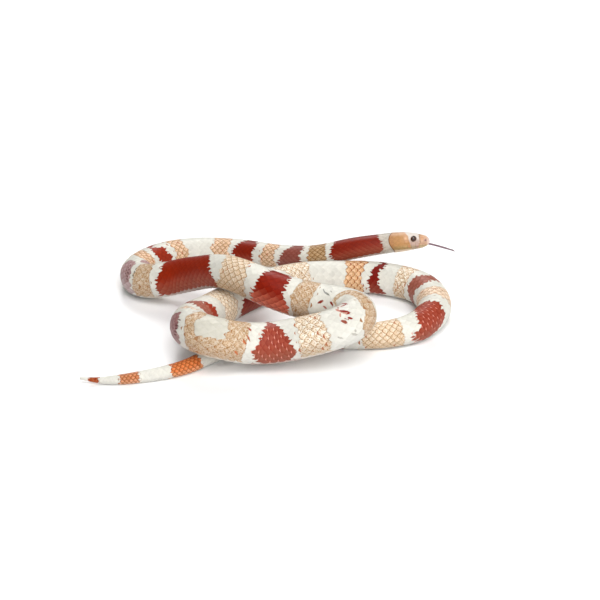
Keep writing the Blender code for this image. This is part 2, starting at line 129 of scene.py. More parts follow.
SCALE_CROWN = 0.03  # how far a scale is domed
SCALE_PLATE = 0.16  # thickness of a scale or plate
PLATES_START = 24.0
VENT = 838.0  # behind this the plates are paired
PLATE_HALF_LENGTH = 0.60
PLATE_BOW = 0.25  # the hind edge of a plate bows back in the middle
BELLY_HALF_ANGLE = math.pi - math.radians(BACK_HALF_ANGLE) + 0.06  # reaches under the lowest scales

# Markings on the scales, in millimetres
RING_STEP = 0.3  # how far a ring's edge keeps to whole scales, from 0, a smooth line, to 1
RED_TOOTH, TAN_TOOTH, DUSTY_TOOTH = 3.2, 1.3, 0.4  # how far a row of scales draws out an edge
BESIDE_EDGE = 0.4  # the colours of a ring are read this far from its edge
RING_OUTLINE = 0.25  # strength of the brown outline of a ring; the head cap's is 1
SPECKLE_SIZE = 0.8  # the fine brown speckles of the tan rings, a little coarser than in life
SPECKLE_STRENGTH = 0.55
NET_LINE, NET_STRENGTH = 0.3, 0.9  # width and strength of the brown line round every tan scale
NOWHERE = 9.0  # a distance at which no line or mark shows
CLOUD_SIZE = 2.2  # the keratin's cloudy tone changes over about half a scale
FIBRE_SIZE = 0.25  # fibres of the iris and the tongue, a little coarser than in life
TONGUE_MAUVE = "70505C"


def hex_colour(code):
    """An sRGB hex value as linear red, green and blue."""
    parts = [int(code[k:k + 2], 16) / 255 for k in (0, 2, 4)]
    return np.array([((c + 0.055) / 1.055) ** 2.4 if c > 0.04045 else c / 12.92 for c in parts])


# Every kind of ring: the middle of a scale, its hind edge, and the colour low on the flank
RING_COLOURS = {
    "white": ("D8D6CC", "D3D0C6", "D5D3CC"),
    # Painted shade: a greyed white for the white inside the front bend, which lies in shade
    "grey white": ("CAC6BA", "C4C0B2", "CECABF"),
    # Painted shade: the white nape ring is darkened, more on the sides, as it lies in shade
    "nape white": ("C0B8AC", "B2A89B", "BAB2A5"),
    # On the brick and brown kinds the paler, purplish colour low on the flank is partly the flank's own
    # tone and partly a painted sheen
    "brick": ("822008", "771A07", "994E3A"),
    "warm brick": ("8F260A", "832008", "9B503B"),
    "bright brick": ("983019", "8A2813", "934735"),
    # Lit brick: its pale salmon colour low on the flank is painted light, over the scales' own paler
    # pinkish lower edges
    "lit brick": ("881B03", "7C1603", "E37D63"),
    "rose brick": ("9B4330", "8A3120", "975643"),
    "rose brown": ("A36152", "8B4D3C", "A67569"),
    "dark brick": ("7B0E02", "6C0C02", "893E2D"),
    "purple brown": ("8B4E44", "7C3F34", "8F5F57"),
    "pale mauve": ("BD9F9F", "9B7673", "C1B0AE"),
    "mauve": ("A67B78", "895C5A", "AF8F8C"),
    "neck tan": ("C0A17A", "9C7951", "C0A786"),
    "tan": ("EACBAF", "CBA278", "DEC4A7"),
    "cream tan": ("E6D7C2", "D4B793", "D3BFA6"),
    "rosy tan": ("EFE8DA", "DDC5A5", "CFC0AD"),
    # Painted light: a tan made near white so the ring under the bridge stays bright in the bridge's
    # shadow
    "pale tan": ("FBF3E4", "EFD9B8", "EDE0CA"),
    "dusty tan": ("D2C1AB", "C1A382", "C5B19C"),
    "peach": ("E9D6C0", "DEC1A7", "E2D5C2"),
    "orange tan": ("E4BF99", "C78C57", "D9B995"),
    "orange": ("D48C62", "AE5E33", "DEA988"),
    "bright orange": ("DE7F45", "B04C1C", "E3A376"),
    "deep orange": ("B24317", "912B08", "BA653A"),
}
BELLY_WHITE = "E5E1D9"

# Where each ring begins: its kind, and its edge's distance by degrees from the back to the left
RINGS = [
    # The white nape ring, darkened with painted shade
    ("nape white", {-130: 23.9, -116: 24.8, -105: 25.4, -95: 25.95, -81: 26.4, -70: 26.5, -60: 26.4,
                     -47: 26.0, -37: 25.5, -27: 25.0, -13: 24.1, 0: 23.6}),
    ("brick", {-120: 30.5, -90: 30.5, -60: 31.5, -30: 33, 0: 32}),
    ("white", {-90: 64.5, -60: 63.5, -30: 61.5, 0: 60.5}),
    ("neck tan", {-90: 67, 0: 66.5}),
    ("white", {-90: 78.5, 0: 78}),
    ("purple brown", {-90: 84, -60: 84, -30: 82.5, 0: 82.5}),
    ("white", {-120: 100, -90: 99, -60: 97.5, -30: 94.5, 0: 91}),
    ("tan", {-90: 102, -60: 102, -30: 101, 0: 100}),
    ("white", {-120: 112, -60: 111.5, 0: 110}),
    ("brick", {-90: 117, -60: 118.5, -30: 117, -10: 117.5, 0: 118.5, 20: 121}),
    ("white", {-70: 136, -60: 135, -30: 132.5, -15: 129, 0: 128, 20: 126.5}),
    ("tan", {-60: 138.5, -30: 137, 0: 136.5}),
    ("white", {-60: 151, -30: 149.5, 0: 149}),
    ("tan", {-60: 170, -30: 171.5, 0: 172}),
    ("white", {-60: 179.5, -30: 181.5, 0: 183}),
    ("bright brick", {-70: 184, -60: 186, -45: 189, -30: 187.5, -15: 191, 0: 195}),
    ("white", {-60: 200, -30: 200.5, -15: 199.5, 0: 197.5, 20: 196}),
    ("tan", {-60: 206, -30: 205, 0: 203, 30: 200}),
    ("white", {-60: 219, -30: 217, 0: 213.5, 30: 208}),
    ("pale mauve", {5: 226, 15: 219, 30: 217, 60: 217.5, 90: 221, 120: 226}),
    ("white", {5: 225, 15: 227.5, 30: 229, 60: 231, 90: 232, 120: 233}),
    ("dusty tan", {0: 231, 30: 232.5, 60: 233, 90: 233, 120: 233.5}),
    ("white", {0: 243.5, 120: 243.5}),
    ("warm brick", {-15: 253, 0: 252, 30: 250, 60: 248, 90: 246.5, 120: 246.5, 150: 247}),
    ("white", {-10: 288, 0: 290, 30: 295, 60: 299, 90: 302, 120: 304}),
    ("cream tan", {-20: 300, 0: 303.5, 30: 306, 60: 307, 90: 308}),
    ("white", {0: 320, 30: 323, 60: 325, 90: 326, 120: 327}),
    ("lit brick", {-15: 335, 0: 333, 30: 332, 60: 332, 90: 331, 120: 330}),
    ("white", {-20: 347, 0: 347.5, 60: 347, 90: 351, 120: 353.5}),
    ("dusty tan", {0: 355, 30: 354, 60: 352, 90: 353, 100: 355}),
    ("white", {0: 368, 30: 367, 60: 364.5, 90: 364}),
    ("dusty tan", {-120: 404, -96: 403, -84: 402, -60: 400.5, -39: 398.5, -20: 394, -3: 389, 15: 386,
                   30: 384, 54: 381}),
    ("white", {-120: 410.5, -87: 410.5, -72: 409.5, -51: 407.5, -39: 406, -21: 405, -6: 403, 9: 399.5,
               15: 396, 18: 394, 24: 391, 42: 386.5, 54: 383}),
    ("rosy tan", {-90: 424, -60: 424, -30: 425, 0: 426.5}),
    ("white", {-60: 439, -30: 440, 0: 441}),
    ("rose brick", {-115: 443, -90: 443.5, -60: 446, -45: 448, -30: 449.5, -15: 452, 0: 455,
                      20: 460}),
    ("white", {-115: 470, -90: 472, -75: 470, -60: 468, -45: 467, -30: 464.5, -15: 462,
               0: 460.5, 15: 460}),
    ("dusty tan", {-120: 478, -90: 477, -60: 476, -30: 475, 0: 473}),
    # The white inside the front bend is greyed with painted shade
    ("grey white", {-180: 600, -74: 600, -67: 489, -30: 488, 0: 488}),
    ("dusty tan", {-75: 497, -60: 499, -30: 501, 0: 500}),
    ("white", {-120: 501.5, -90: 502.5, -66: 503.5, -45: 505, -30: 507}),
    ("mauve", {-120: 507, -102: 506, -81: 506.5, -60: 508, -45: 510.5, -36: 512.5, -25: 514.5}),
    ("white", {-120: 519.5, -60: 519, -51: 518, -36: 515, -25: 514.5}),
    ("peach", {-120: 524, -60: 523, -40: 520, -25: 517.4, -3: 515.4, 6: 512.6, 15: 510.4,
               60: 509.5}),
    ("white", {-120: 524.5, -60: 523.5, -40: 521.2, -25: 518.8, -3: 517, 6: 514.6, 15: 512.6,
               60: 511.5}),
    ("rose brown", {-120: 530, -60: 529, -15: 527, -6: 525, 21: 521, 45: 518, 75: 518}),
    ("bright brick", {-60: 537, -15: 534, 0: 533.5, 21: 532.5, 45: 531.5, 75: 530}),
    ("white", {-120: 542, -60: 541, -30: 534, -15: 531, 3: 531.5, 33: 536.5, 51: 538.5, 75: 538}),
    # The tan ring under the bridge, lightened with painted light against the bridge's shadow
    ("pale tan", {0: 549, 60: 551}),
    ("white", {0: 567, 30: 568, 60: 570}),
    ("dark brick", {0: 580, 60: 577, 75: 576, 90: 574, 105: 573, 120: 574, 140: 576}),
    ("white", {0: 600, 90: 602}),
    ("rosy tan", {0: 616, 30: 622, 60: 626}),
    ("white", {0: 640, 90: 640}),
    ("orange tan", {0: 665, 30: 665, 60: 664, 90: 663}),
    ("white", {0: 679, 30: 676.5, 60: 674, 90: 675}),
    ("dark brick", {0: 688, 15: 686, 30: 683, 60: 682, 75: 680, 90: 681, 120: 681}),
    ("white", {0: 691, 15: 691, 30: 690, 60: 688, 75: 689, 90: 690, 120: 694}),
    ("rosy tan", {0: 701, 90: 701}),
    ("white", {0: 712, 90: 712}),
    ("rose brown", {-15: 722, 0: 721, 30: 717, 60: 716, 80: 716}),
    ("white", {-15: 728, 0: 729, 30: 730, 60: 729}),
    ("peach", {0: 737, 60: 735}),
    ("white", {0: 747, 60: 748}),
    ("rose brick", {-120: 770, -90: 762, -75: 759, -60: 757, -45: 759, -30: 756, -15: 755,
                      0: 758, 15: 757, 30: 759}),
    ("white", {-120: 782, -90: 784, -75: 783, -60: 779, -30: 779, -15: 778, 0: 776, 15: 774,
               30: 771}),
    ("cream tan", {-60: 789, 0: 789}),
    ("white", {-90: 812, 0: 808}),
    ("brick", {0: 822, 90: 824}),
    ("white", {0: 836, 90: 837}),
    ("cream tan", {0: 848, 90: 849}),
    ("white", {0: 862, 90: 861}),
    ("bright orange", {0: 872, 90: 873}),
    ("white", {0: 886, 90: 885}),
    ("bright orange", {-60: 920, 0: 919}),
    ("white", {-60: 939, 0: 938}),
    ("orange", {-60: 957, 0: 957}),
    ("white", {-60: 968.5, 0: 968.5}),
    ("deep orange", {-60: 980, 0: 980}),
    ("white", {-60: 986.5, 0: 986.5}),
]

# Dark marks on white rings and at some borders: from and to (distance, turn), half thickness, colour
STROKES = [
    ((380.5, 55.0), (383.5, 63.0), 0.8, "84382C"), ((413.8, 24.0), (409.2, 29.0), 0.5, "9A4034"),
    ((409.0, 28.0), (409.0, 8.0), 0.75, "8E281C"), ((409.6, 8.0), (412.8, 10.0), 0.6, "A04838"),
    ((414.5, 12.0), (415.2, 4.0), 0.4, "B4705E"), ((416.5, 3.0), (415.5, -13.0), 0.75, "8E2C20"),
    ((415.3, -10.0), (413.2, -28.0), 1.15, "861C12"), ((416.3, -19.0), (417.0, -29.0), 0.35, "C08C78"),
    ((416.0, -31.0), (414.2, -43.0), 1.05, "82241A"), ((414.2, -41.0), (413.5, -46.0), 0.6, "8C8078"),
    ((417.0, -43.0), (416.2, -51.0), 0.8, "8E4634"), ((371.5, 18.0), (373.0, 27.0), 0.5, "90908A"),
    ((373.0, 27.0), (377.0, 35.0), 0.6, "7C7C72"), ((377.0, 20.0), (378.5, 24.0), 0.4, "A09C92"),
    ((371.0, 61.0), (373.0, 56.0), 0.9, "84382C"), ((375.0, 70.0), (377.0, 74.0), 0.6, "A86A5C"),
    ((414.0, -79.0), (414.0, -84.0), 0.4, "B0ACA2"), ((415.3, -87.0), (414.0, -95.0), 0.7, "BAB6AC"),
    ((420.5, -85.0), (419.5, -90.0), 0.5, "A8A49A"), ((474.5, -54.0), (476.0, -44.0), 0.7, "A8603F"),
    ((473.5, -26.0), (475.5, -16.0), 0.8, "A4503A"), ((477.0, -64.0), (478.5, -58.0), 0.7, "C06A3C"),
    ((481.0, -98.0), (482.5, -92.0), 0.7, "C07048"), ((224.4, 26.0), (225.4, 28.0), 0.40, "7A5650"),
    ((226.2, 30.0), (227.2, 32.0), 0.45, "6E4A44"), ((225.0, 37.0), (226.0, 38.0), 0.35, "7A5650"),
    ((227.3, 40.0), (228.3, 41.5), 0.45, "6A463F"), ((226.0, 46.5), (227.0, 48.0), 0.40, "74504A"),
    ((228.2, 50.0), (229.2, 52.0), 0.45, "6A463F"), ((226.8, 57.0), (227.6, 58.0), 0.35, "7A5650"),
    ((228.8, 61.0), (229.8, 63.0), 0.40, "74504A"), ((229.4, 71.0), (230.2, 73.0), 0.35, "7A5650"),
    ((232.4, 26.0), (232.8, 31.0), 0.4, "6A6450"), ((232.8, 38.0), (233.0, 43.0), 0.4, "5E5846"),
    ((233.0, 50.0), (233.1, 55.0), 0.4, "6A6450"), ((233.0, 62.0), (233.1, 66.0), 0.35, "77705C"),
    ((508.6, -44.0), (509.8, -46.0), 0.45, "6E4240"), ((508.2, -52.0), (509.4, -54.0), 0.50, "64383A"),
    ((508.0, -61.0), (509.2, -63.0), 0.50, "64383A"), ((508.0, -70.0), (509.2, -72.0), 0.45, "6E4240"),
    ((508.0, -79.0), (509.2, -81.0), 0.50, "64383A"), ((508.2, -88.0), (509.4, -90.0), 0.45, "6E4240"),
    ((510.6, -57.0), (511.6, -58.0), 0.35, "7A4E4A"), ((510.4, -75.0), (511.4, -76.0), 0.35, "7A4E4A"),
]


# Curves and frames of the body, worked out as for the solids
def smooth_through(where, stations, column=1):
    """Reads one column of a station list on a smooth curve that never overshoots its stations."""
    xs = np.array([row[0] for row in stations], float)
    ys = np.array([row[column] for row in stations], float)
    span = np.diff(xs)
    rise = np.diff(ys) / span
    slope = np.zeros(len(xs))
    product = rise[:-1] * rise[1:]
    total = np.where(product > 0, rise[:-1] + rise[1:], 1.0)
    slope[1:-1] = np.where(product > 0, 2 * product / total, 0.0)
    slope[0] = rise[0]
    slope[-1] = rise[-1]
    where = np.asarray(where, float)
    k = np.clip(np.searchsorted(xs, where) - 1, 0, len(span) - 1)
    t = (where - xs[k]) / span[k]
    start = (2 * t**3 - 3 * t**2 + 1) * ys[k] + (t**3 - 2 * t**2 + t) * span[k] * slope[k]
    end = (3 * t**2 - 2 * t**3) * ys[k + 1] + (t**3 - t**2) * span[k] * slope[k + 1]
    return start + end


def body_radius(distance):
    return smooth_through(np.clip(distance, 0.0, SNAKE_LENGTH), GIRTH)


def curve_through(points, steps=16):
    """A centripetal Catmull-Rom curve through the route's points, as a dense polyline."""
    ends = np.vstack([2 * points[0] - points[1], points, 2 * points[-1] - points[-2]])
    curve = []
    for p0, p1, p2, p3 in zip(ends, ends[1:], ends[2:], ends[3:]):
        t1 = np.linalg.norm(p1 - p0) ** 0.5
        t2 = t1 + np.linalg.norm(p2 - p1) ** 0.5
        t3 = t2 + np.linalg.norm(p3 - p2) ** 0.5
        for t in np.linspace(t1, t2, steps, endpoint=False):
            a1 = (t1 - t) / t1 * p0 + t / t1 * p1
            a2 = (t2 - t) / (t2 - t1) * p1 + (t - t1) / (t2 - t1) * p2
            a3 = (t3 - t) / (t3 - t2) * p2 + (t - t2) / (t3 - t2) * p3
            b1 = (t2 - t) / t2 * a1 + t / t2 * a2
            b2 = (t3 - t) / (t3 - t1) * a2 + (t - t1) / (t3 - t1) * a3
            curve.append((t2 - t) / (t2 - t1) * b1 + (t - t1) / (t2 - t1) * b2)
    curve.append(points[-1])
    return np.array(curve)


def lengths_along(points):
    steps = np.linalg.norm(np.diff(points, axis=0), axis=1)
    return np.concatenate([[0.0], np.cumsum(steps)])


def points_along(where, along, points):
    """Where a line through known points has come to at some distances along it."""
    return np.stack([np.interp(where, along, points[:, axis]) for axis in range(3)], axis=-1)


def resampled(points, step):
    """The same line with a point at every step."""
    along = lengths_along(points)
    where = np.linspace(0.0, along[-1], int(round(along[-1] / step)) + 1)
    return points_along(where, along, points)


def eased(points, reach=6):
    """Averages the line over a few millimetres, so that no bend has a kink."""
    weights = np.hanning(2 * reach + 3)[1:-1]
    weights /= weights.sum()
    before = 2 * points[0] - points[1:reach + 1][::-1]
    after = 2 * points[-1] - points[-reach - 1:-1][::-1]
    padded = np.vstack([before, points, after])
    return np.array([np.convolve(padded[:, axis], weights, mode="valid") for axis in range(3)]).T


def unit(vectors):
    return vectors / np.linalg.norm(vectors, axis=-1)[..., None]


def middle_line():
    """The body's middle line, a point every millimetre, with its length and its direction."""
    points = np.array(ROUTE, float) - (*COIL_MIDDLE, 0.0)
    line = eased(resampled(curve_through(points), 1.0))
    along = lengths_along(line)
    for _ in range(2):
        raised = line.copy()
        raised[:, 2] += BELLY_FLAT * body_radius(along)
        along = lengths_along(raised)
    return along, raised, unit(np.gradient(raised, axis=0))


ALONG, LINE, DIRECTION = middle_line()


def soft_step(value, low, high):
    t = np.clip((value - low) / (high - low), 0.0, 1.0)
    return t * t * (3.0 - 2.0 * t)


def bump(value, centre, reach):
    """1 at the centre, next to nothing two reaches away."""
    return np.exp(-(((value - centre) / reach) ** 2))


def frames_at(distance):
    """Centres, backward directions, lefts and ups of the body at many distances."""
    distance = np.asarray(distance, float)
    centre = points_along(distance, ALONG, LINE)
    back = unit(points_along(distance, ALONG, DIRECTION))
    up = unit(np.array([0.0, 0.0, 1.0]) - back * back[..., 2:3])
    left = np.cross(back, up)
    roll = np.radians(HEAD_ROLL) * (1.0 - soft_step(distance, NECK_START, ROLL_ENDS))
    cosine, sine = np.cos(roll)[..., None], np.sin(roll)[..., None]
    return centre, back, left * cosine - up * sine, up * cosine + left * sine


def section_height(turn):
    """Height of the body's surface over its middle line, in radii: round, but flat below."""
    cosine = np.cos(turn)
    return np.maximum(np.where(cosine > 0, BACK_HEIGHT, BELLY_CURVE) * cosine, -BELLY_FLAT)


def on_body(distance, turn, lift=0.0):
    """Points of the body's surface, lifted outwards by a few tenths of a millimetre."""
    centre, _, left, up = frames_at(distance)
    radius = body_radius(distance)
    across = (radius + lift) * np.sin(turn)
    high = radius * section_height(turn) + lift * np.cos(turn)
    return centre + across[..., None] * left + high[..., None] * up


def squeeze(distance, turn):
    """How much shorter the surface is than the middle line where a bend closes up."""
    before = on_body(distance - 1.0, turn)
    after = on_body(distance + 1.0, turn)
    return np.linalg.norm(after - before, axis=-1) / 2.0


def girth_share(distance):
    """How large a scale is here, as a share of one on the body's usual girth."""
    return (body_radius(distance) / PITCH_GIRTH) ** PITCH_POWER


# Markings
MIRROR_EASE = 25.0  # degrees over which an edge eases from its last knot into the mirrored side
STROKE_REACH = 4.0  # a scale whose middle lies this near a stroke may carry a part of it
HEAD_TAN = hex_colour("B88857")
RING_KINDS = list(RING_COLOURS)
KIND_OF_RING = np.array([RING_KINDS.index(kind) for kind, _ in RINGS])
KIND_TABLE = np.array([[hex_colour(code) for code in codes] for codes in RING_COLOURS.values()])
# Plain tan and orange kinds are speckled with strength 1, the dusty ones more strongly
SPECKLE_AMOUNTS = {"dusty tan": 1.75, "rosy tan": 1.55, "peach": 0.8, "deep orange": 0.6}
SPECKLED = np.array([SPECKLE_AMOUNTS.get(kind, float(kind.endswith(("tan", "orange"))))
                     for kind in RING_KINDS])
# Rose brick scales get pale hind tips: painted highlights
PAINTED_HIGHLIGHT_TIPS = np.array([kind == "rose brick" for kind in RING_KINDS])
SMOOTH_EDGED = np.array([kind.endswith(("tan", "white", "peach", "mauve")) for kind in RING_KINDS])
DUSTY = np.array([kind == "dusty tan" for kind in RING_KINDS])
BROWN_TIPPED = np.array([kind in ("orange", "bright orange", "orange tan") for kind in RING_KINDS])


def ring_edge(knots, turn):
    """A ring's edge on both sides of the body: the unseen side mirrors the seen one."""
    turns = np.array(sorted(knots), float)
    edges = np.array([knots[key] for key in sorted(knots)], float)
    direct = np.interp(turn, turns, edges)
    mirrored = np.interp(-turn, turns, edges)
    low_step = edges[0] - np.interp(-turns[0], turns, edges)
    high_step = edges[-1] - np.interp(-turns[-1], turns, edges)
    below = mirrored + low_step * np.exp((turn - turns[0]) / MIRROR_EASE)
    above = mirrored + high_step * np.exp((turns[-1] - turn) / MIRROR_EASE)
    return np.where(turn < turns[0], below, np.where(turn > turns[-1], above, direct))


def ring_at(distance, turn):
    """Which ring a place lies in, and how far it is from the ring's nearer edge."""
    found = np.full(np.shape(distance), -1)
    start = np.full(np.shape(distance), -np.inf)
    end = np.full(np.shape(distance), np.inf)
    for k, (_, knots) in enumerate(RINGS):
        edge = ring_edge(knots, turn)
        inside = edge <= distance
        found = np.where(inside, k, found)
        start = np.where(inside, edge, start)
        end = np.where(inside, np.inf, np.minimum(end, edge))
    return found, np.minimum(distance - start, end - distance)


def nearest_edge(distance, turn):
    """Signed distance to the nearest ring edge that shows, and that edge's number."""
    nearest = np.full(np.shape(distance), np.inf)
    number = np.zeros(np.shape(distance), int)
    edges = [ring_edge(knots, turn) for _, knots in RINGS]
    for k, edge in enumerate(edges):
        hidden = np.zeros(np.shape(distance), bool)
        for later in edges[k + 1:k + 3]:
            hidden |= later < edge
        gap = distance - edge
        closer = ~hidden & (np.abs(gap) < np.abs(nearest))
        nearest = np.where(closer, gap, nearest)
        number = np.where(closer, k, number)
    return nearest, number


def stroke_at(middle, middle_degrees, distance, degrees):
    """For every scale: the colour of the nearest stroke, whether one is near, and where its points
    lie in the ovals of the two nearest strokes."""
    rows = np.array([(*first, *last, thick) for first, last, thick, _ in STROKES])
    centre = (rows[:, 0:2] + rows[:, 2:4]) / 2
    girth = body_radius(centre[:, 0])
    along = (rows[:, 2] - rows[:, 0]) / 2
    across = np.radians(rows[:, 3] - rows[:, 1]) / 2 * girth
    half = np.hypot(along, across)
    along, across = along / half, across / half
    thick = rows[:, 4]
    half = half + thick

    def in_stroke(at, at_degrees, k):
        off_along = at - centre[k, 0]
        off_across = np.radians(at_degrees - centre[k, 1]) * girth[k]
        return ((off_along * along[k] + off_across * across[k]) / half[k],
                (off_across * along[k] - off_along * across[k]) / thick[k])

    a, b = in_stroke(middle, middle_degrees, np.arange(len(rows)))
    away = np.hypot(np.maximum(np.abs(a) - 1.0, 0.0) * half, b * thick)
    nearest = away.argsort(axis=1)[:, :2]
    colours = np.array([hex_colour(row[-1]) for row in STROKES])[nearest[:, :1]]
    ovals = [part for k in nearest.T for part in in_stroke(distance, degrees, k[:, None])]
    return colours, away.min(axis=1, keepdims=True) < STROKE_REACH, np.stack(ovals, axis=-1)


def blend(low, high, share):
    share = np.asarray(share)[..., None]
    return low * (1.0 - share) + high * share


def layered(colour, *coats):
    """Lays coats of (hex value, share) over a colour, one after the other."""
    for code, share in coats:
        colour = blend(colour, hex_colour(code), share)
    return colour


def body_colour(distance, turn):
    """The colour of the bare skin: the ring's middle colour, paler on the belly."""
    degrees = (np.degrees(turn) + 180.0) % 360.0 - 180.0
    ring, _ = ring_at(distance, degrees)
    table = KIND_TABLE[KIND_OF_RING[np.maximum(ring, 0)]]
    colour = blend(table[..., 0, :], table[..., 2, :], soft_step(np.abs(degrees), 70.0, 115.0))
    colour = np.where((ring < 0)[..., None], HEAD_TAN, colour)
    return layered(colour, (BELLY_WHITE, 0.55 * soft_step(np.abs(degrees), 118.0, 132.0)))


# The head
HALF_STEPS = 400  # points of a finely stepped half section
UPPER_COLUMNS, LOWER_COLUMNS = 60, 44  # columns of the skin over and under the mouth's line
UPPER_CROWDING, LOWER_CROWDING = 1.25, 1.2  # powers that draw the columns towards the mouth
MOST_MOUTH_SHARE = 0.8  # the mouth's column runs no lower than this share of the half section
SNOUT_RINGS, HEAD_STEP = 22, 0.2
HEAD_ENDS = 27.0


def mouth_height(distance):
    return float(smooth_through(min(distance, MOUTH_LINE[-1][0]), MOUTH_LINE))


def half_section(distance):
    """The left half of one ring of the head, from the back's middle to the chin's, finely stepped."""
    angle = np.linspace(0.0, math.pi, HALF_STEPS)
    half_width, top, bottom, square = (
        float(smooth_through(distance, HEAD_SECTIONS, column)) for column in (1, 2, 3, 4))
    rounding = 1.0
    if distance < SNOUT_ROUND:
        rounding = math.sqrt(max(0.0, 1.0 - (1.0 - distance / SNOUT_ROUND) ** 2))
    sine, cosine = np.sin(angle), np.cos(angle)
    across = np.abs(sine) ** square * half_width * rounding
    up = np.sign(cosine) * np.abs(cosine) ** square * np.where(cosine > 0, top, bottom) * rounding
    fade = np.clip((LIP_FADE[1] - distance) / (LIP_FADE[1] - LIP_FADE[0]), 0.0, 1.0) * rounding
    lips = LIP_SWELL * fade * bump(up, mouth_height(distance), LIP_BAND)
    brow = (BROW_SWELL * bump(distance, BROW_CENTRE[0], BROW_REACH[0])
            * bump(up, BROW_CENTRE[1], BROW_REACH[1]))
    across = across + np.abs(sine) * (lips + brow)
    flat = -BELLY_FLAT * float(body_radius(distance))
    ease = np.clip((distance - CHIN_EASE[0]) / (CHIN_EASE[1] - CHIN_EASE[0]), 0.0, 1.0)
    up = np.maximum(up, flat - (1.0 - ease) * CHIN_DROP)
    across[0] = across[-1] = 0.0
    return across, up


def head_rings():
    """Distance, across and up of every point of the head's skin, a column of it on the mouth's line."""
    front = SNOUT_ROUND * (1.0 - np.cos(np.linspace(0.0, math.pi / 2, SNOUT_RINGS)))
    behind = np.arange(SNOUT_ROUND + HEAD_STEP, HEAD_ENDS + 0.01, HEAD_STEP)
    upper = 1.0 - np.linspace(1.0, 0.0, UPPER_COLUMNS + 1) ** UPPER_CROWDING
    lower = np.linspace(0.0, 1.0, LOWER_COLUMNS + 1)[1:] ** LOWER_CROWDING
    rows = []
    for distance in np.concatenate([front, behind]):
        across, up = half_section(distance)
        arc = np.concatenate([[0.0], np.cumsum(np.hypot(np.diff(across), np.diff(up)))])
        below = np.nonzero(up < mouth_height(distance))[0]
        share = MOST_MOUTH_SHARE
        if len(below) and arc[-1] > 0:
            share = min(share, arc[below[0]] / arc[-1])
        place = np.concatenate([upper * share, share + lower * (1.0 - share)]) * arc[-1]
        half_across = np.interp(place, arc, across)
        half_up = np.interp(place, arc, up)
        ring_across = np.concatenate([-half_across[::-1], half_across[1:-1]])
        ring_up = np.concatenate([half_up[::-1], half_up[1:-1]])
        rows.append(np.stack([np.full(len(ring_up), distance), ring_across, ring_up], axis=-1))
    return np.array(rows)


def on_top(distance, across):
    xs, ys = half_section(distance)
    quarter = HALF_STEPS // 2
    return np.array([distance, across, float(np.interp(across, xs[:quarter], ys[:quarter]))])


def on_side(distance, up):
    xs, ys = half_section(distance)
    return np.array([distance, float(np.interp(-up, -ys, xs)), up])


def under(distance, across):
    xs, ys = half_section(distance)
    quarter = HALF_STEPS // 2
    return np.array([distance, across, float(np.interp(across, xs[:quarter:-1], ys[:quarter:-1]))])


# Borders of the head shields: (distance, across) on top and below, (distance, height) beside
TOP_BORDERS = [
    [(1.3, 0.0), (6.6, 0.0)],  # between the internasals and the prefrontals
    [(1.3, 0.0), (1.1, 1.3), (1.25, 2.3)],  # behind the rostral
    [(3.5, 0.0), (3.7, 1.5), (3.4, 2.9)],  # internasal to prefrontal
    [(6.6, 0.0), (6.9, 1.1), (7.2, 1.9)],  # prefrontal to frontal
    [(7.2, 1.9), (7.7, 3.1), (7.9, 3.8)],  # prefrontal to supraocular
    [(7.2, 1.9), (9.5, 1.65), (11.2, 1.35), (12.7, 0.0)],  # sides of the frontal
    [(12.7, 0.0), (19.0, 0.0)],  # between the parietals
    [(11.2, 1.35), (12.2, 2.5), (12.9, 3.8)],  # supraocular to parietal
    [(12.9, 3.8), (14.6, 4.6), (16.8, 4.3), (18.6, 2.7), (19.2, 1.1), (19.0, 0.0)],
    [(7.9, 3.8), (9.3, 4.3), (11.2, 4.4), (12.9, 3.8)],  # outer edge of the supraocular
]
SIDE_BORDERS = [
    [(1.2, 2.4), (1.1, 0.6), (1.2, -1.7)],  # rostral
    [(1.2, 2.4), (3.9, 2.7), (6.3, 2.9), (7.9, 3.9)],  # over the nasal and the loreal
    [(2.6, 2.5), (2.6, -0.8)],  # the nasal is divided at the nostril
    [(4.1, 2.7), (4.2, -0.9)],
    [(6.3, 2.9), (6.2, 1.2), (6.5, -0.9)],  # loreal to preocular
    [(1.2, -0.7), (3.0, -0.8), (5.0, -0.9), (7.4, -0.9), (8.9, -0.2)],  # over the lip shields
    [(12.9, -0.2), (14.5, -0.6), (17.0, -0.5), (19.5, -0.4), (21.8, -1.4)],
    [(3.1, -0.8), (3.0, -2.1)], [(5.2, -0.9), (5.1, -2.5)], [(7.4, -0.9), (7.2, -2.8)],
    [(9.8, -0.1), (9.6, -3.1)], [(12.5, -0.2), (12.6, -3.4)], [(15.4, -0.6), (15.6, -3.6)],
    [(18.4, -0.5), (18.9, -3.1)],
    [(14.5, -0.6), (14.7, 1.6), (14.2, 3.7)],  # behind the postoculars
    [(13.05, 1.7), (14.7, 1.6)],
    [(14.7, 1.6), (17.0, 1.5), (19.6, 1.7)],  # temporals
    [(17.0, -0.5), (17.1, 1.5)], [(17.6, 1.5), (17.9, 3.7)],
    [(19.5, -0.4), (19.8, 1.7), (19.2, 3.6)],
    [(2.4, -3.2), (6.0, -4.3), (10.0, -4.9), (15.0, -5.2), (20.0, -4.6)],  # under the lower lip
    [(2.6, -2.0), (2.8, -3.3)], [(4.6, -2.4), (4.9, -4.0)], [(6.9, -2.8), (7.2, -4.5)],
    [(9.4, -3.1), (9.7, -4.8)], [(12.2, -3.4), (12.4, -5.0)], [(15.2, -3.6), (15.2, -5.2)],
    [(18.2, -3.2), (18.0, -4.9)],
]
CHIN_BORDERS = [
    [(2.0, 0.0), (16.5, 0.0)], [(2.0, 0.0), (2.4, 1.4)],
    [(8.6, 0.0), (9.2, 1.5), (8.6, 2.8)], [(14.2, 0.0), (14.8, 1.6), (14.0, 3.0)],
]
POINT_STEP = 0.1  # between the points along a border or the mouth


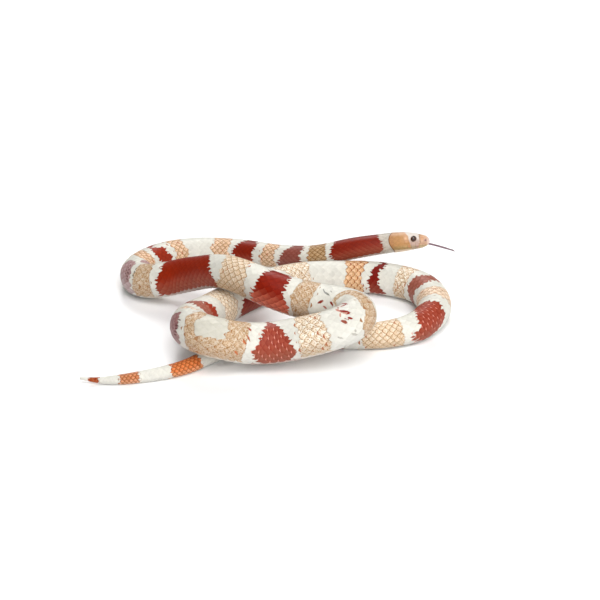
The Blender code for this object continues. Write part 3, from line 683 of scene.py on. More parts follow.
def shield_borders():
    """Points along every border, on both sides of the head."""
    points = []
    for borders, place in ((TOP_BORDERS, on_top), (SIDE_BORDERS, on_side), (CHIN_BORDERS, under)):
        for border in borders:
            for (d0, x0), (d1, x1) in zip(border, border[1:]):
                steps = int(math.hypot(d1 - d0, x1 - x0) / POINT_STEP) + 2
                for t in np.linspace(0.0, 1.0, steps):
                    points.append(place(d0 + (d1 - d0) * t, x0 + (x1 - x0) * t))
    for t in np.linspace(0.0, 2 * math.pi, 90):
        points.append(on_side(EYE_BACK + 1.12 * EYE_OPENING * math.cos(t),
                              EYE_HEIGHT + 1.1 * EYE_OPENING * math.sin(t)))
    points = np.array(points)
    return np.vstack([points, points * (1.0, -1.0, 1.0)])


def mouth_points():
    """Points along the mouth, round the snout and on both sides."""
    points = [on_side(d, mouth_height(d)) for d in np.arange(0.75, 21.0, POINT_STEP)]
    nose = [np.array([0.72, x, MOUTH_LINE[1][1]]) for x in np.linspace(0.0, points[0][1], 12)]
    points = np.array(nose + points)
    return np.vstack([points, points * (1.0, -1.0, 1.0)])


def gap_to(points, places):
    """How far every place is from the nearest of the points."""
    tree = KDTree(len(points))
    for k, point in enumerate(points):
        tree.insert(point, k)
    tree.balance()
    flat = places.reshape(-1, 3)
    return np.array([tree.find(place)[2] for place in flat]).reshape(places.shape[:-1])


# Rear and front edge of the white band across the eyes, by (height, distance)
BAND_REAR = [(-5.0, 11.6), (-3.0, 12.4), (-0.4, 13.4), (1.4, 14.1), (3.7, 14.4), (5.1, 15.2),
             (6.0, 15.8), (6.8, 16.5)]
BAND_FRONT = [(-5.0, 8.6), (-2.0, 7.6), (-0.3, 6.8), (1.3, 7.0), (3.2, 7.2), (4.6, 7.2)]
# Tinted spots on the sides of the head, and one painted highlight, the pale spot at the temple: colour,
# distance, height and reach
CHEEK_SPOTS_AND_HIGHLIGHT = [
    ("C07A5A", 14.0, -2.4, 0.75), ("C08C84", 8.2, -2.6, 0.8), ("8E6636", 23.4, -0.9, 0.75),
    ("DDB592", 16.2, 3.0, 0.7),
]


def level_beyond(height, stations):
    """A smooth curve that stays level beyond its first and last stations."""
    return smooth_through(np.clip(height, stations[0][0], stations[-1][0]), stations)


def cap_colour(distance, up):
    """The tan of the head's cap: pinker on top and towards the nape, pale along the chin; the lighter
    top is partly painted light, the darker lower sides are painted shade.
    """
    return layered(
        HEAD_TAN,
        # pinker and lighter on top, partly its own tone and partly painted light; darker low on the
        # side, painted shade
        ("C79D7A", soft_step(up, 3.8, 6.2)),
        ("AD8F60", soft_step(-up, 0.3, 3.0)),
        ("CBA180", 0.8 * bump(distance, 15.6, 1.5) * soft_step(up, -0.5, 2.0)),
        ("AE7851", 0.6 * bump(distance, 25.4, 1.3)),
        ("E8D3BA", soft_step(-up, 3.8, 4.9)))


def snout_colour(distance, up):
    """A pinkish snout, paler at its tip, with a tan patch before the eye and a tan top."""
    patch = np.hypot((distance - 5.4) / 1.25, (up - 2.5) / 1.35)
    return layered(
        hex_colour("CFAA8F"),
        ("DBC4BC", 1.0 - soft_step(distance, 0.6, 3.0)),
        ("BA957A", 0.7 * soft_step(-up, -0.9, 0.6) * soft_step(distance, 1.5, 3.0)),
        ("CF9D78", 0.85 * soft_step(-patch, -1.15, -0.7)),
        ("C2946A", 0.7 * soft_step(up, 3.3, 4.2)))


def head_colour(places, borders, mouth):
    """A tan cap, a white band across the eyes greyed with painted shade, a pinkish snout with a tan
    patch, pale lips.
    """
    distance, across, up = places[..., 0], np.abs(places[..., 1]), places[..., 2]
    rear = level_beyond(up, BAND_REAR) + 0.12 * np.sin(across * 2.3)
    front = level_beyond(up, BAND_FRONT) + 0.10 * np.sin(across * 3.1 + 1.0)
    band = soft_step(rear - distance, -0.15, 0.35) * soft_step(distance - front, -0.15, 0.35)
    # The white band is painted in shade: greyish brown, lighter on top and darker low on the side
    shaded_band_white = layered(
        hex_colour("BBA093"),
        ("D5CCC4", soft_step(up, 0.2, 3.6)),
        ("AC977E", soft_step(-up, 1.2, 2.8)))
    colour = blend(cap_colour(distance, up), shaded_band_white, band)
    colour = blend(colour, snout_colour(distance, up), 1.0 - soft_step(distance - front, -0.35, 0.0))

    front_lip = soft_step(-up, 1.4, 2.4) * (1.0 - soft_step(distance, 6.6, 8.0))
    from_eye = np.hypot(distance - EYE_BACK, up - EYE_HEIGHT)
    from_nostril = np.hypot(distance - NOSTRIL_BACK, up - NOSTRIL_HEIGHT)
    colour = layered(
        colour,
        ("7A6245", 0.6 * bump(distance, front - 0.3, 0.3) * soft_step(up, -1.2, 0.2)),
        ("C2B087", 0.85 * front_lip),
        # the cheek spots, and the temple's painted highlight
        *[(code, 0.85 * bump(np.hypot(distance - back, up - height), 0.0, reach) * (across > 2.0))
          for code, back, height, reach in CHEEK_SPOTS_AND_HIGHLIGHT],
        ("BCA891", 0.5 * bump(from_eye, 1.95, 0.16)),
        ("7A5763", bump(from_nostril, 0.0, 0.7) * (across > 1.5)))
    # The borders of the shields are stained, the mouth's line and the cap's rear edge are dark
    colour = blend(colour, colour * hex_colour("C2A384"), 0.55 * bump(borders, 0.0, 0.13))
    nape_edge = ring_edge(RINGS[0][1], np.degrees(np.arctan2(-across, up)))
    return layered(
        colour,
        ("6A4336", 0.75 * bump(mouth, 0.0, 0.15)),
        ("6A472A", 0.8 * bump(distance, nape_edge, 0.3)),
        # the white nape behind the cap, darkened with painted shade
        (RING_COLOURS["nape white"][0], soft_step(distance - nape_edge, 0.1, 0.4)))


def head_relief(places, borders, mouth):
    """How far the head's skin is let in or stands out, with its shields, mouth, eyes and pits."""
    distance, across, up = places[..., 0], np.abs(places[..., 1]), places[..., 2]
    shields = 1.0 - soft_step(distance, 19.0, 21.5)
    lift = shields * (-0.13 * bump(borders, 0.0, 0.17) - 0.07 * np.exp(-borders / 0.5))
    lift -= 0.5 * bump(mouth, 0.0, 0.16) * (1.0 - soft_step(distance, 19.6, 21.2))
    lift -= 0.12 * bump(mouth, 0.0, 0.5) * (1.0 - soft_step(distance, 18.0, 21.2))
    nostril = np.hypot(distance - NOSTRIL_BACK, up - NOSTRIL_HEIGHT)
    lift -= np.where(across > 1.5, 0.9 * np.exp(-((nostril / 0.42) ** 4)), 0.0)
    rim = np.hypot(distance - EYE_BACK, up - EYE_HEIGHT) / EYE_OPENING
    beside = across > 3.0
    lift = np.where(beside & (rim < 1.0), -0.25 - 1.1 * soft_step(1.0 - rim, 0.0, 0.35), lift)
    lift += np.where(beside, 0.10 * bump(rim, 1.12, 0.09), 0.0)
    notch = np.hypot(across / 0.95, (up - MOUTH_LINE[1][1]) / 0.6)
    lift -= np.where(distance < 2.2, 0.75 * np.exp(-(notch**4)), 0.0)
    # Behind the shields the skin goes down under the small scales, and later under the belly plates
    turn = np.arctan2(across, up)
    behind = np.where(turn < math.radians(BACK_HALF_ANGLE), 18.6, 22.6)
    return lift - skin_depth(HEAD_ENDS) * soft_step(distance, behind, behind + 3.0)


def make_head_skin():
    """Points, colours and distances of the head's skin."""
    places = head_rings()
    centre, back, left, up = frames_at(places[..., 0])
    points = centre + places[..., 1:2] * left + places[..., 2:3] * up
    borders = gap_to(shield_borders(), places)
    mouth = gap_to(mouth_points(), places)

    along = np.gradient(points, axis=0)
    round_it = np.roll(points, -1, axis=1) - np.roll(points, 1, axis=1)
    normal = np.cross(along, round_it)
    size = np.linalg.norm(normal, axis=-1)[..., None]
    normal = np.where(size > 1e-9, normal / np.maximum(size, 1e-9), -back)
    normal *= np.where((normal * (points - centre)).sum(-1) < 0, -1.0, 1.0)[..., None]
    normal[0] = -back[0]
    lift = head_relief(places, borders, mouth)
    return points + lift[..., None] * normal, head_colour(places, borders, mouth), places[..., 0]


def skin_depth(distance):
    """How far the skin lies inside the solids, under the scales."""
    under_scales = 1.0 - soft_step(np.asarray(distance, float), *BARE_TIP)
    return SKIN_DEPTH * girth_share(distance) * under_scales


def make_body_skin():
    """Points, colours and distances of the body's skin, closed at the tail's tip."""
    count = int((SNAKE_LENGTH - HEAD_ENDS - 0.6) / BODY_SKIN_STEP)
    distances = np.linspace(HEAD_ENDS + 0.6, SNAKE_LENGTH - 0.02, count)
    turns = -math.pi + np.arange(BODY_SKIN_SIDES) * 2 * math.pi / BODY_SKIN_SIDES
    distance, turn = np.meshgrid(distances, turns, indexing="ij")
    points = on_body(distance, turn, -skin_depth(distance))
    colours = body_colour(distance, turn)
    tip = np.broadcast_to(frames_at(SNAKE_LENGTH)[0], (1, BODY_SKIN_SIDES, 3))
    return (np.vstack([points, tip]), np.vstack([colours, colours[-1:]]),
            np.vstack([distance, np.full((1, BODY_SKIN_SIDES), SNAKE_LENGTH)]))


# Meshes
BODY_STRIP = (SNAKE_LENGTH - HEAD_ENDS + 1.0) / 5
# The skin's unwrap, a strip for the head and five for the body: start, length, place and height
SKIN_STRIPS = [(0.0, HEAD_ENDS, 0.0, 0.27)] + [
    (HEAD_ENDS + k * BODY_STRIP, BODY_STRIP, 0.29 + 0.142 * k, 0.132) for k in range(5)]


def new_piece(name, mesh, material):
    piece = bpy.data.objects.new(name, mesh)
    bpy.context.scene.collection.objects.link(piece)
    mesh.materials.append(material)
    return piece


def smooth_piece(name, bm, material):
    """Turns a finished bmesh into a smooth piece, its faces turned outwards."""
    bmesh.ops.recalc_face_normals(bm, faces=bm.faces)
    mesh = bpy.data.meshes.new(name)
    bm.to_mesh(mesh)
    bm.free()
    mesh.shade_smooth()
    return new_piece(name, mesh, material)


def add_tube(bm, points, colours, distances, with_uv):
    """A grid rolled into a tube through rings of points, in millimetres."""
    rings, sides = points.shape[:2]
    markings, along = bm.verts.layers.float_color["markings"], bm.verts.layers.float["along"]
    made = bmesh.ops.create_grid(bm, x_segments=rings - 1, y_segments=sides, size=1.0,
                                 calc_uvs=with_uv)["verts"]
    for vertex in made:
        ring = round((vertex.co.x + 1.0) / 2.0 * (rings - 1))
        side = round((vertex.co.y + 1.0) / 2.0 * sides) % sides
        vertex.co = points[ring, side] * MM
        vertex[markings] = (*colours[ring, side], 1.0)
        vertex[along] = distances[ring, side]
    bmesh.ops.remove_doubles(bm, verts=made, dist=1e-7)


def tube_bmesh():
    """An empty bmesh with the layers that a tube fills."""
    bm = bmesh.new()
    bm.verts.layers.float_color.new("markings")
    bm.verts.layers.float.new("along")
    return bm


def sew_neck(bm, uv):
    """Closes the gap between head and body, with the unwrap's slit kept in one line."""
    open_edges = [edge for edge in bm.edges if edge.is_boundary]
    sewn = bmesh.ops.bridge_loops(bm, edges=open_edges)["faces"]
    for face in sewn:
        for loop in face.loops:
            others = [other for other in loop.vert.link_loops if other.face not in sewn]
            loop[uv].uv.y = others[0][uv].uv.y
        heights = [loop[uv].uv.y for loop in face.loops]
        if max(heights) - min(heights) > 0.5:
            for loop in face.loops:
                loop[uv].uv.y += 1.0 if loop[uv].uv.y < 0.5 else 0.0


def make_skin(material):
    """The skin of head, body and tail in one piece, its unwrap slit along the belly."""
    bm = tube_bmesh()
    uv = bm.loops.layers.uv.new("OFBake")
    for tube in (make_head_skin(), make_body_skin()):
        add_tube(bm, *tube, with_uv=True)
    sew_neck(bm, uv)
    along = bm.verts.layers.float["along"]
    for face in bm.faces:
        middle = sum(loop.vert[along] for loop in face.loops) / len(face.loops)
        start, length, low, height = next(
            strip for strip in reversed(SKIN_STRIPS) if middle >= strip[0])
        for loop in face.loops:
            part = (loop.vert[along] - start) / length
            loop[uv].uv = (0.01 + 0.97 * part, low + height * loop[uv].uv.y)
    return smooth_piece("snake_skin", bm, material)


def head_fit(distance, turn):
    """How far the head's section stands outside the body's, for scales that reach onto the head."""
    steps = np.arange(FIT_STARTS, FIT_ENDS + 0.1, FIT_STEP)
    angles = np.radians(np.arange(0.0, 181.0, 5.0))
    gaps = []
    for step in steps:
        across, up = half_section(step)
        own = np.interp(angles, np.arctan2(across, up), np.hypot(across, up))
        gaps.append(own - body_radius(step) * np.hypot(np.sin(angles), section_height(angles)))
    gaps = np.array(gaps) * (1.0 - soft_step(steps, 26.0, FIT_ENDS))[:, None]
    row = np.clip((distance - FIT_STARTS) / FIT_STEP, 0.0, len(steps) - 1.001)
    column = np.clip(np.abs(turn) / angles[1], 0.0, len(angles) - 1.001)
    k, j = row.astype(int), column.astype(int)
    near = gaps[k, j] * (k + 1 - row) + gaps[k + 1, j] * (row - k)
    far = gaps[k, j + 1] * (k + 1 - row) + gaps[k + 1, j + 1] * (row - k)
    fit = near * (j + 1 - column) + far * (column - j)
    return np.where(distance < FIT_ENDS, fit, 0.0)


def scale_pattern():
    """One overlapping scale: a disc with a raised middle, a wall and a closed underside."""
    bm = bmesh.new()
    bmesh.ops.create_circle(bm, cap_ends=True, segments=SCALE_SIDES, radius=1.0)
    bm.faces.ensure_lookup_table()
    inner = bm.faces[0]
    bmesh.ops.poke(bm, faces=[inner])
    rim = [edge for edge in bm.edges if edge.is_boundary]
    wall = bmesh.ops.extrude_edge_only(bm, edges=rim)["geom"]
    lower = [part for part in wall if isinstance(part, bmesh.types.BMVert)]
    bmesh.ops.translate(bm, verts=lower, vec=(0.0, 0.0, -1.0))
    bmesh.ops.contextual_create(bm, geom=[edge for edge in bm.edges if edge.is_boundary])
    bmesh.ops.recalc_face_normals(bm, faces=bm.faces)
    return pattern_arrays(bm)


def plate_pattern(across):
    """One wide belly plate, as a thin closed slab of a few strips."""
    bm = bmesh.new()
    bmesh.ops.create_grid(bm, x_segments=2, y_segments=across, size=1.0)
    made = bmesh.ops.extrude_face_region(bm, geom=list(bm.faces), use_keep_orig=True)["geom"]
    lower = [part for part in made if isinstance(part, bmesh.types.BMVert)]
    bmesh.ops.translate(bm, verts=lower, vec=(0.0, 0.0, -1.0))
    bmesh.ops.recalc_face_normals(bm, faces=bm.faces)
    return pattern_arrays(bm)


def pattern_arrays(bm):
    bm.verts.index_update()
    points = np.array([vertex.co for vertex in bm.verts])
    corners = np.array([loop.vert.index for face in bm.faces for loop in face.loops])
    sizes = np.array([len(face.verts) for face in bm.faces])
    underside = np.repeat([all(vertex.co.z < -0.5 for vertex in face.verts) for face in bm.faces],
                          sizes)
    bm.free()
    return points, corners, sizes, underside


def joined_copies(name, pattern, points, layers, spots, material):
    """One mesh of many copies of a pattern, each with its own points, layers and bake patch."""
    _, corners, sizes, _ = pattern
    copies, each = points.shape[:2]
    mesh = bpy.data.meshes.new(name)
    mesh.vertices.add(copies * each)
    mesh.vertices.foreach_set("co", (points * MM).astype(np.float32).ravel())
    offsets = np.arange(copies)[:, None] * each
    all_corners = (corners[None] + offsets).ravel()
    all_sizes = np.tile(sizes, copies)
    mesh.loops.add(len(all_corners))
    mesh.loops.foreach_set("vertex_index", all_corners.astype(np.int32))
    mesh.polygons.add(len(all_sizes))
    starts = np.concatenate([[0], np.cumsum(all_sizes)[:-1]])
    mesh.polygons.foreach_set("loop_start", starts.astype(np.int32))
    mesh.update(calc_edges=True)
    for label, layer in layers.items():
        if layer.ndim == 2:
            values = mesh.attributes.new(label, "FLOAT", "POINT")
            values.data.foreach_set("value", layer.astype(np.float32).ravel())
            continue
        if layer.shape[-1] == 3:
            layer = np.concatenate([layer, np.ones(layer.shape[:-1] + (1,))], axis=-1)
        values = mesh.attributes.new(label, "FLOAT_COLOR", "POINT")
        values.data.foreach_set("color", layer.astype(np.float32).ravel())
    uv = mesh.uv_layers.new(name="OFBake")
    uv.data.foreach_set("uv", spots.astype(np.float32).ravel())
    mesh.shade_smooth()
    mesh.set_sharp_from_angle(angle=math.radians(48))
    mesh.validate()
    return new_piece(name, mesh, material)


def pitch_at(distance):
    return SCALE_PITCH * girth_share(distance)


def steps_along():
    """Distances of whole and half steps of the scales from the head to the tail's tip."""
    fine = np.arange(COAT_STARTS, SNAKE_LENGTH - 1.0, 0.25)
    counted = np.concatenate([[0.0], np.cumsum(0.25 / pitch_at(fine))[:-1]])
    halves = np.arange(0, int(counted[-1] * 2) + 1) / 2.0
    return np.interp(halves, counted, fine)


def scale_places():
    """Distance, turn, half length and half width of every small scale."""
    places = []
    for k, distance in enumerate(steps_along()):
        rows = next((count for limit, count in SCALE_ROWS if distance < limit), None)
        if rows is None:
            continue
        width = 2 * math.radians(BACK_HALF_ANGLE) / rows
        half_length = SCALE_HALF_LENGTH * float(pitch_at(distance))
        half_width = SCALE_HALF_WIDTH * width * float(body_radius(distance))
        for row in range(-(rows // 2), rows // 2 + 1):
            if (row + k) % 2 == 0:
                places.append((distance, row * width, half_length, half_width))
    return np.array(places)


def rhombus(points, power=1.45):
    """Turns a unit disc's points into those of a rounded rhombus."""
    angle = np.arctan2(points[:, 1], points[:, 0])
    reach = (np.abs(np.cos(angle)) ** power + np.abs(np.sin(angle)) ** power) ** (-1.0 / power)
    return points[:, 0] * reach, points[:, 1] * reach


def lay_scales(shape):
    """The small scales, a row of arrays for each, and all of their points, a column for each."""
    along, across = rhombus(shape)
    out = np.hypot(shape[:, 0], shape[:, 1])
    middle, middle_turn, half_length, half_width = scale_places().T[..., None]
    distance = middle + along * half_length
    return SimpleNamespace(
        along=along, across=across, out=out, lower=shape[:, 2] < -0.5,
        rim=np.where(out > 0.9, soft_step(along, -0.2, 0.55), 0.0),
        middle=middle, middle_turn=middle_turn, degrees=np.degrees(middle_turn),
        half_length=half_length, half_width=half_width, size=girth_share(middle),
        distance=distance, turn=middle_turn + across * half_width / body_radius(distance))


def tightness(middle, turn):
    """How much of their height scales keep where a bend presses them together."""
    return np.clip(squeeze(middle, turn), 0.2, 1.0) * girth_share(middle)


def scale_points(scales):
    """The scales' points: each tilted up towards its hind edge, gently domed, and closed below."""
    tight = tightness(scales.middle, scales.middle_turn)
    crown = np.where(scales.lower, 0.0, 1.0 - np.minimum(scales.out, 1.0) ** 2)
    lift = (-SCALE_RELIEF * tight * (0.5 - 0.5 * scales.along) + SCALE_CROWN * tight * (crown - 0.5)
            - SCALE_PLATE * scales.size * scales.lower)
    lift = lift + head_fit(scales.distance, scales.turn)
    return on_body(scales.distance, scales.turn, lift)


def ring_colours(scales, place, toned, shade):
    """The scales' colours and speckles in the ring at some places near them."""
    ring, _ = ring_at(place, scales.degrees)
    kind = KIND_OF_RING[np.maximum(ring, 0)]
    table = KIND_TABLE[kind]
    speckled = np.where(ring >= 0, SPECKLED[kind], 0.0)
    flank = soft_step(np.abs(scales.degrees), 62.0, 112.0)
    middle = blend(table[..., 0, :], table[..., 2, :], flank)
    edge = blend(table[..., 1, :], table[..., 1, :] * 0.5 + table[..., 2, :] * 0.5, flank)
    # A few scales are toned as dark as their edges
    middle = blend(middle, edge, 0.40 * ((speckled > 0) & (toned < 0.14)))
    middle = blend(middle, edge, 0.35 * ((speckled == 0) & (toned > 0.90)))
    colours = blend(middle, edge, scales.rim) * shade[..., None]
    height = body_radius(scales.distance) * BACK_HEIGHT * np.cos(scales.turn)
    cap = cap_colour(scales.distance, height) * (1 - 0.14 * scales.rim[:, None])
    colours = np.where((ring < 0)[..., None], cap, colours)
    speckle = np.broadcast_to(speckled[..., None], colours.shape[:2] + (1,))
    return np.concatenate([np.clip(colours, 0.0, 1.0), speckle], axis=-1)


def edge_layers(scales, gap, number, wobble):
    """How a ring's edge crosses the scales: partly as a line and partly by whole scales."""
    degrees = np.degrees(scales.turn)
    lines = np.stack([ring_edge(knots, degrees) for _, knots in RINGS])
    from_line = scales.distance - np.take_along_axis(lines, number[None], axis=0)[0]
    red, dusty = (kinds[KIND_OF_RING] | np.roll(kinds[KIND_OF_RING], 1)
                  for kinds in (~SMOOTH_EDGED, DUSTY))
    tooth_size = np.where(red, RED_TOOTH, np.where(dusty, DUSTY_TOOTH, TAN_TOOTH))[number]
    tooth = tooth_size * scales.size * (np.abs(scales.across) - 0.25)
    step = np.where(dusty, 0.0, RING_STEP)[number]
    crossing = (1.0 - step) * from_line + step * gap + tooth + wobble
    outline = np.where(number == 0, 1.0, RING_OUTLINE)
    return {"ring_edge": np.where(number == 0, from_line, crossing),
            "edge_line": np.broadcast_to(outline, scales.distance.shape)}


def tip_layers(scales, fiery, marked, cut):
    """Marked scales: a dark hind tip, a pale hind tip that is a painted highlight, or a part of a
    stroke.
    """
    ring, gap = ring_at(scales.middle, scales.degrees)
    kind = KIND_OF_RING[np.maximum(ring, 0)]
    speckled = (SPECKLED[kind] > 0) & (ring >= 0)
    orange = speckled & BROWN_TIPPED[kind]
    fiery_tip = speckled & ~orange & (gap < 3.6) & (fiery < 0.42)
    brown_tip = speckled & ~fiery_tip & (marked < np.where(orange, 0.85, 0.45))
    # Pale tips on rose brick scales are painted highlights
    highlight_tip = PAINTED_HIGHLIGHT_TIPS[kind] & (marked < 0.75)
    stroke, on_stroke, place = stroke_at(
        scales.middle, scales.degrees, scales.distance, np.degrees(scales.turn))
    colour = np.where(on_stroke[..., None], stroke, hex_colour("9A6A40"))
    for chosen, code in ((fiery_tip, "AC6C4A"), (fiery_tip & DUSTY[kind], "A0744F"),
                         (orange, "8E4A20"), (highlight_tip, "D88E7C")):
        colour = np.where(chosen[..., None], hex_colour(code), colour)

    start = np.where(fiery_tip, 0.48 + 0.36 * cut, np.where(orange, 0.55, 0.72) + 0.2 * cut)
    start = np.where(highlight_tip, 0.76, start)
    tipped = (fiery_tip | brown_tip | highlight_tip) & ~on_stroke & ~scales.lower
    return {
        "tip_colour": np.broadcast_to(colour, scales.distance.shape + (3,)),
        "tip_edge": np.where(tipped, (scales.along - start) * scales.half_length, -NOWHERE),
        "stroke_place": np.where((on_stroke & ~scales.lower)[..., None], place, NOWHERE),
        "rim_line": np.where(scales.lower, NOWHERE, (1.0 - scales.out) * scales.half_width)}


def make_scales(material):
    """The small scales of back, flanks and tail, in six lengths."""
    pattern = scale_pattern()
    shape, corners, _, underside = pattern
    scales = lay_scales(shape)
    points = scale_points(scales)
    rng = np.random.default_rng(11)
    count = len(scales.middle)
    toned, fiery, marked, cut = (rng.random((count, 1)) for _ in range(4))
    shade = rng.normal(1.0, 0.03, (count, 1))
    wobble = rng.normal(0.0, 0.35, (count, 1))

    gap, number = nearest_edge(scales.middle, scales.degrees)
    edge = scales.middle - gap
    layers = {"markings": ring_colours(scales, edge - BESIDE_EDGE, toned, shade),
              "markings_beyond": ring_colours(scales, edge + BESIDE_EDGE, toned, shade),
              **edge_layers(scales, gap, number, wobble),
              **tip_layers(scales, fiery, marked, cut)}

    # Each scale's bake patch is its own shape, made smaller, at its place on the unwrap
    patch_along = np.where(underside, 0.74 + 0.02 * scales.along[corners],
                           0.62 * scales.along[corners])
    patch_across = np.where(underside, 0.02, 0.62) * scales.across[corners]
    place = scales.middle + patch_along * scales.half_length
    off_turn = patch_across * scales.half_width / body_radius(scales.middle)
    v = 0.5 + (scales.middle_turn + off_turn) / (2 * math.pi)
    pieces = []
    for part, (start, end) in enumerate(zip(COAT_PARTS, COAT_PARTS[1:]), 1):
        chosen = (scales.middle[:, 0] >= start) & (scales.middle[:, 0] < end)
        u = (place - start + 4.0) / (end - start + 8.0)
        own_layers = {label: layer[chosen] for label, layer in layers.items()}
        pieces.append(joined_copies(f"dorsal_scales_{part}", pattern, points[chosen], own_layers,
                                    np.stack([u, v], axis=-1)[chosen], material))
    return pieces


def make_plates(name, rows, strips, unwrap_rows, material):
    """One piece of belly plates, from rows of distance, side of the middle and half width."""
    pattern = plate_pattern(strips)
    shape, corners, _, underside = pattern
    along, lower = shape[:, 0], shape[:, 2] < -0.5
    middle, middle_side, half_side = rows.T[..., None]
    side = middle_side + shape[:, 1] * half_side
    half_length = PLATE_HALF_LENGTH * pitch_at(middle)
    bow = PLATE_BOW * (1.0 - side**2)
    distance = middle + (along + bow * (along + 1) / 2) * half_length
    tight = tightness(middle, np.full(middle.shape, math.pi))
    edge_drop = 0.10 * soft_step(np.abs(side), 0.85, 1.0)
    lift = -(SKIN_DEPTH * tight * (0.5 - 0.5 * along) + SCALE_PLATE * girth_share(middle) * lower
             + edge_drop)
    points = on_body(distance, math.pi + side * BELLY_HALF_ANGLE, lift)
    turn = (math.pi - np.abs(side) * BELLY_HALF_ANGLE) * np.sign(side + 1e-9)
    colours = body_colour(np.broadcast_to(middle, side.shape), turn)
    colours = colours * (1.0 - 0.06 * soft_step(along, 0.2, 1.0)[:, None])

    first, last = middle.min() - 5.0, middle.max() + 5.0
    patch = np.where(underside, 0.93 + 0.02 * along[corners], 0.80 * along[corners])
    u = (middle + patch * half_length - first) / (last - first) * unwrap_rows
    v = 0.5 + side[:, corners] * np.where(underside, 0.40, 0.45)
    row = np.minimum(u.mean(axis=1, keepdims=True).astype(int), unwrap_rows - 1)
    spots = np.stack([u - row, (row + 0.03 + 0.94 * v) / unwrap_rows], axis=-1)
    return joined_copies(name, pattern, points, {"markings": colours}, spots, material)


def make_belly(material):
    """Wide plates across the belly, and two rows of narrower ones under the tail."""
    whole = [d for d in steps_along()[::2] if d > PLATES_START]
    wide = np.array([(d, 0.0, 1.0) for d in whole if d < VENT])
    paired = np.array([(d + shift * float(pitch_at(d)), side * 0.5, 0.5)
                       for d in whole if VENT <= d < BARE_TIP[0]
                       for side, shift in ((-1.0, 0.0), (1.0, 0.5))])
    return [make_plates("belly_plates", wide, 8, 4, material),
            make_plates("subcaudal_plates", paired, 4, 1, material)]


def head_point(distance, across, up):
    centre, back, left, rise = frames_at(EYE_BACK)
    return centre + back * (distance - EYE_BACK) + left * across + rise * up


def make_eyes(material):
    """A dark round eye under its clear scale: a finely stepped dome with iris and pupil."""
    _, back, left, rise = frames_at(EYE_BACK)
    radii = np.array(EYE_RADII)[:, None]
    pieces = []
    for side, name in ((1, "left"), (-1, "right")):
        centre = head_point(EYE_BACK, side * EYE_OUT, EYE_HEIGHT)
        axes = np.array([back, left * side, rise]) * radii
        bm = bmesh.new()
        markings = bm.verts.layers.float_color.new("markings")
        bmesh.ops.create_uvsphere(bm, u_segments=48, v_segments=32, radius=1.0)
        for vertex in bm.verts:
            across, high, out = vertex.co
            reach = np.hypot(across, high) * EYE_RADII[0]
            colour = layered(
                hex_colour("0A0504"),
                ("40200F", soft_step(reach, 0.82, 0.92)),
                ("6A3C22", 0.5 * bump(reach, 0.98, 0.10)),
                ("1A0D09", 0.6 * soft_step(reach, 1.45, 1.9)))
            vertex[markings] = (*colour, 1.0)
            vertex.co = (centre + np.array([across, out, high]) @ axes) * MM
        pieces.append((name, smooth_piece(f"brille_and_eye_{name}", bm, material)))
    return pieces


def tongue_point(out):
    """The tongue's middle at a distance out of the mouth: it sinks as it goes."""
    start = head_point(LIP_FRONT, 0.0, MOUTH_LINE[1][1])
    ahead = -frames_at(EYE_BACK)[1]
    t = out / TONGUE_OUT
    drop = TONGUE_DROP * ((1.0 - TONGUE_SAG) * t + TONGUE_SAG * t * abs(t))
    return start + ahead * out + np.array([0.0, 0.0, -drop])


def tongue_ring(out, across, half_width, half_depth):
    """One oval ring of the tongue, with a crease along its top."""
    _, _, left, rise = frames_at(EYE_BACK)
    turn = np.arange(TONGUE_SIDES) * 2.0 * math.pi / TONGUE_SIDES
    crease = 1.0 - 0.35 * bump(np.cos(turn), 0.0, 0.35) * (np.sin(turn) > 0)
    oval = (np.outer(np.cos(turn) * half_width, left)
            + np.outer(np.sin(turn) * half_depth * crease, rise))
    return tongue_point(out) + left * across + oval


def tongue_rod(name, stations, material):
    """A closed rod through rings of the tongue."""
    rings = [tongue_ring(*station) for station in stations]
    caps = [np.broadcast_to(ring.mean(axis=0), ring.shape) for ring in (rings[0], rings[-1])]
    points = np.array([caps[0], *rings, caps[1]])
    bm = tube_bmesh()
    reach = np.broadcast_to(np.linspace(0.0, 1.0, len(points))[:, None], points.shape[:2])
    colours = np.broadcast_to(hex_colour(TONGUE_MAUVE), points.shape)
    add_tube(bm, points, colours, reach, with_uv=False)
    return smooth_piece(name, bm, material)


def make_tongue(material):
    """A flat moist tongue that parts into two thin tines."""
    stem_end = FORK_START + FORK_OVERLAP
    stem = tongue_rod("forked_tongue", [
        (out, 0.0, TONGUE_HALF_WIDTH * (1.0 - TONGUE_TAPER * out), TONGUE_HALF_DEPTH)
        for out in np.linspace(-TONGUE_ROOT, stem_end, 40)], material)
    tines = []
    for side in (1, -1):
        stations = []
        for t in np.linspace(0.0, 1.0, 26):
            out = FORK_START - FORK_OVERLAP + t * (TONGUE_OUT - FORK_START + FORK_OVERLAP)
            thin = 1.0 - TINE_TAPER * t
            across = side * (TINE_START + FORK_SPREAD * t**1.6)
            stations.append((out, across, TINE_HALF_WIDTH * thin, TINE_HALF_DEPTH * thin))
        tine = tongue_rod(f"tine_{side}", stations, material)
        union = stem.modifiers.new("fork", "BOOLEAN")
        union.operation = "UNION"
        union.object = tine
        tines.append(tine)
    bpy.context.view_layer.update()
    depsgraph = bpy.context.evaluated_depsgraph_get()
    whole = bpy.data.meshes.new_from_object(stem.evaluated_get(depsgraph))
    stem.modifiers.clear()
    stem.data = whole
    whole.shade_smooth()
    whole.set_sharp_from_angle(angle=math.radians(60))
    colours = np.tile([*hex_colour(TONGUE_MAUVE), 1.0], (len(whole.vertices), 1))
    whole.attributes["markings"].data.foreach_set("color", colours.astype(np.float32).ravel())
    for tine in tines:
        bpy.data.objects.remove(tine, do_unlink=True)
    return stem


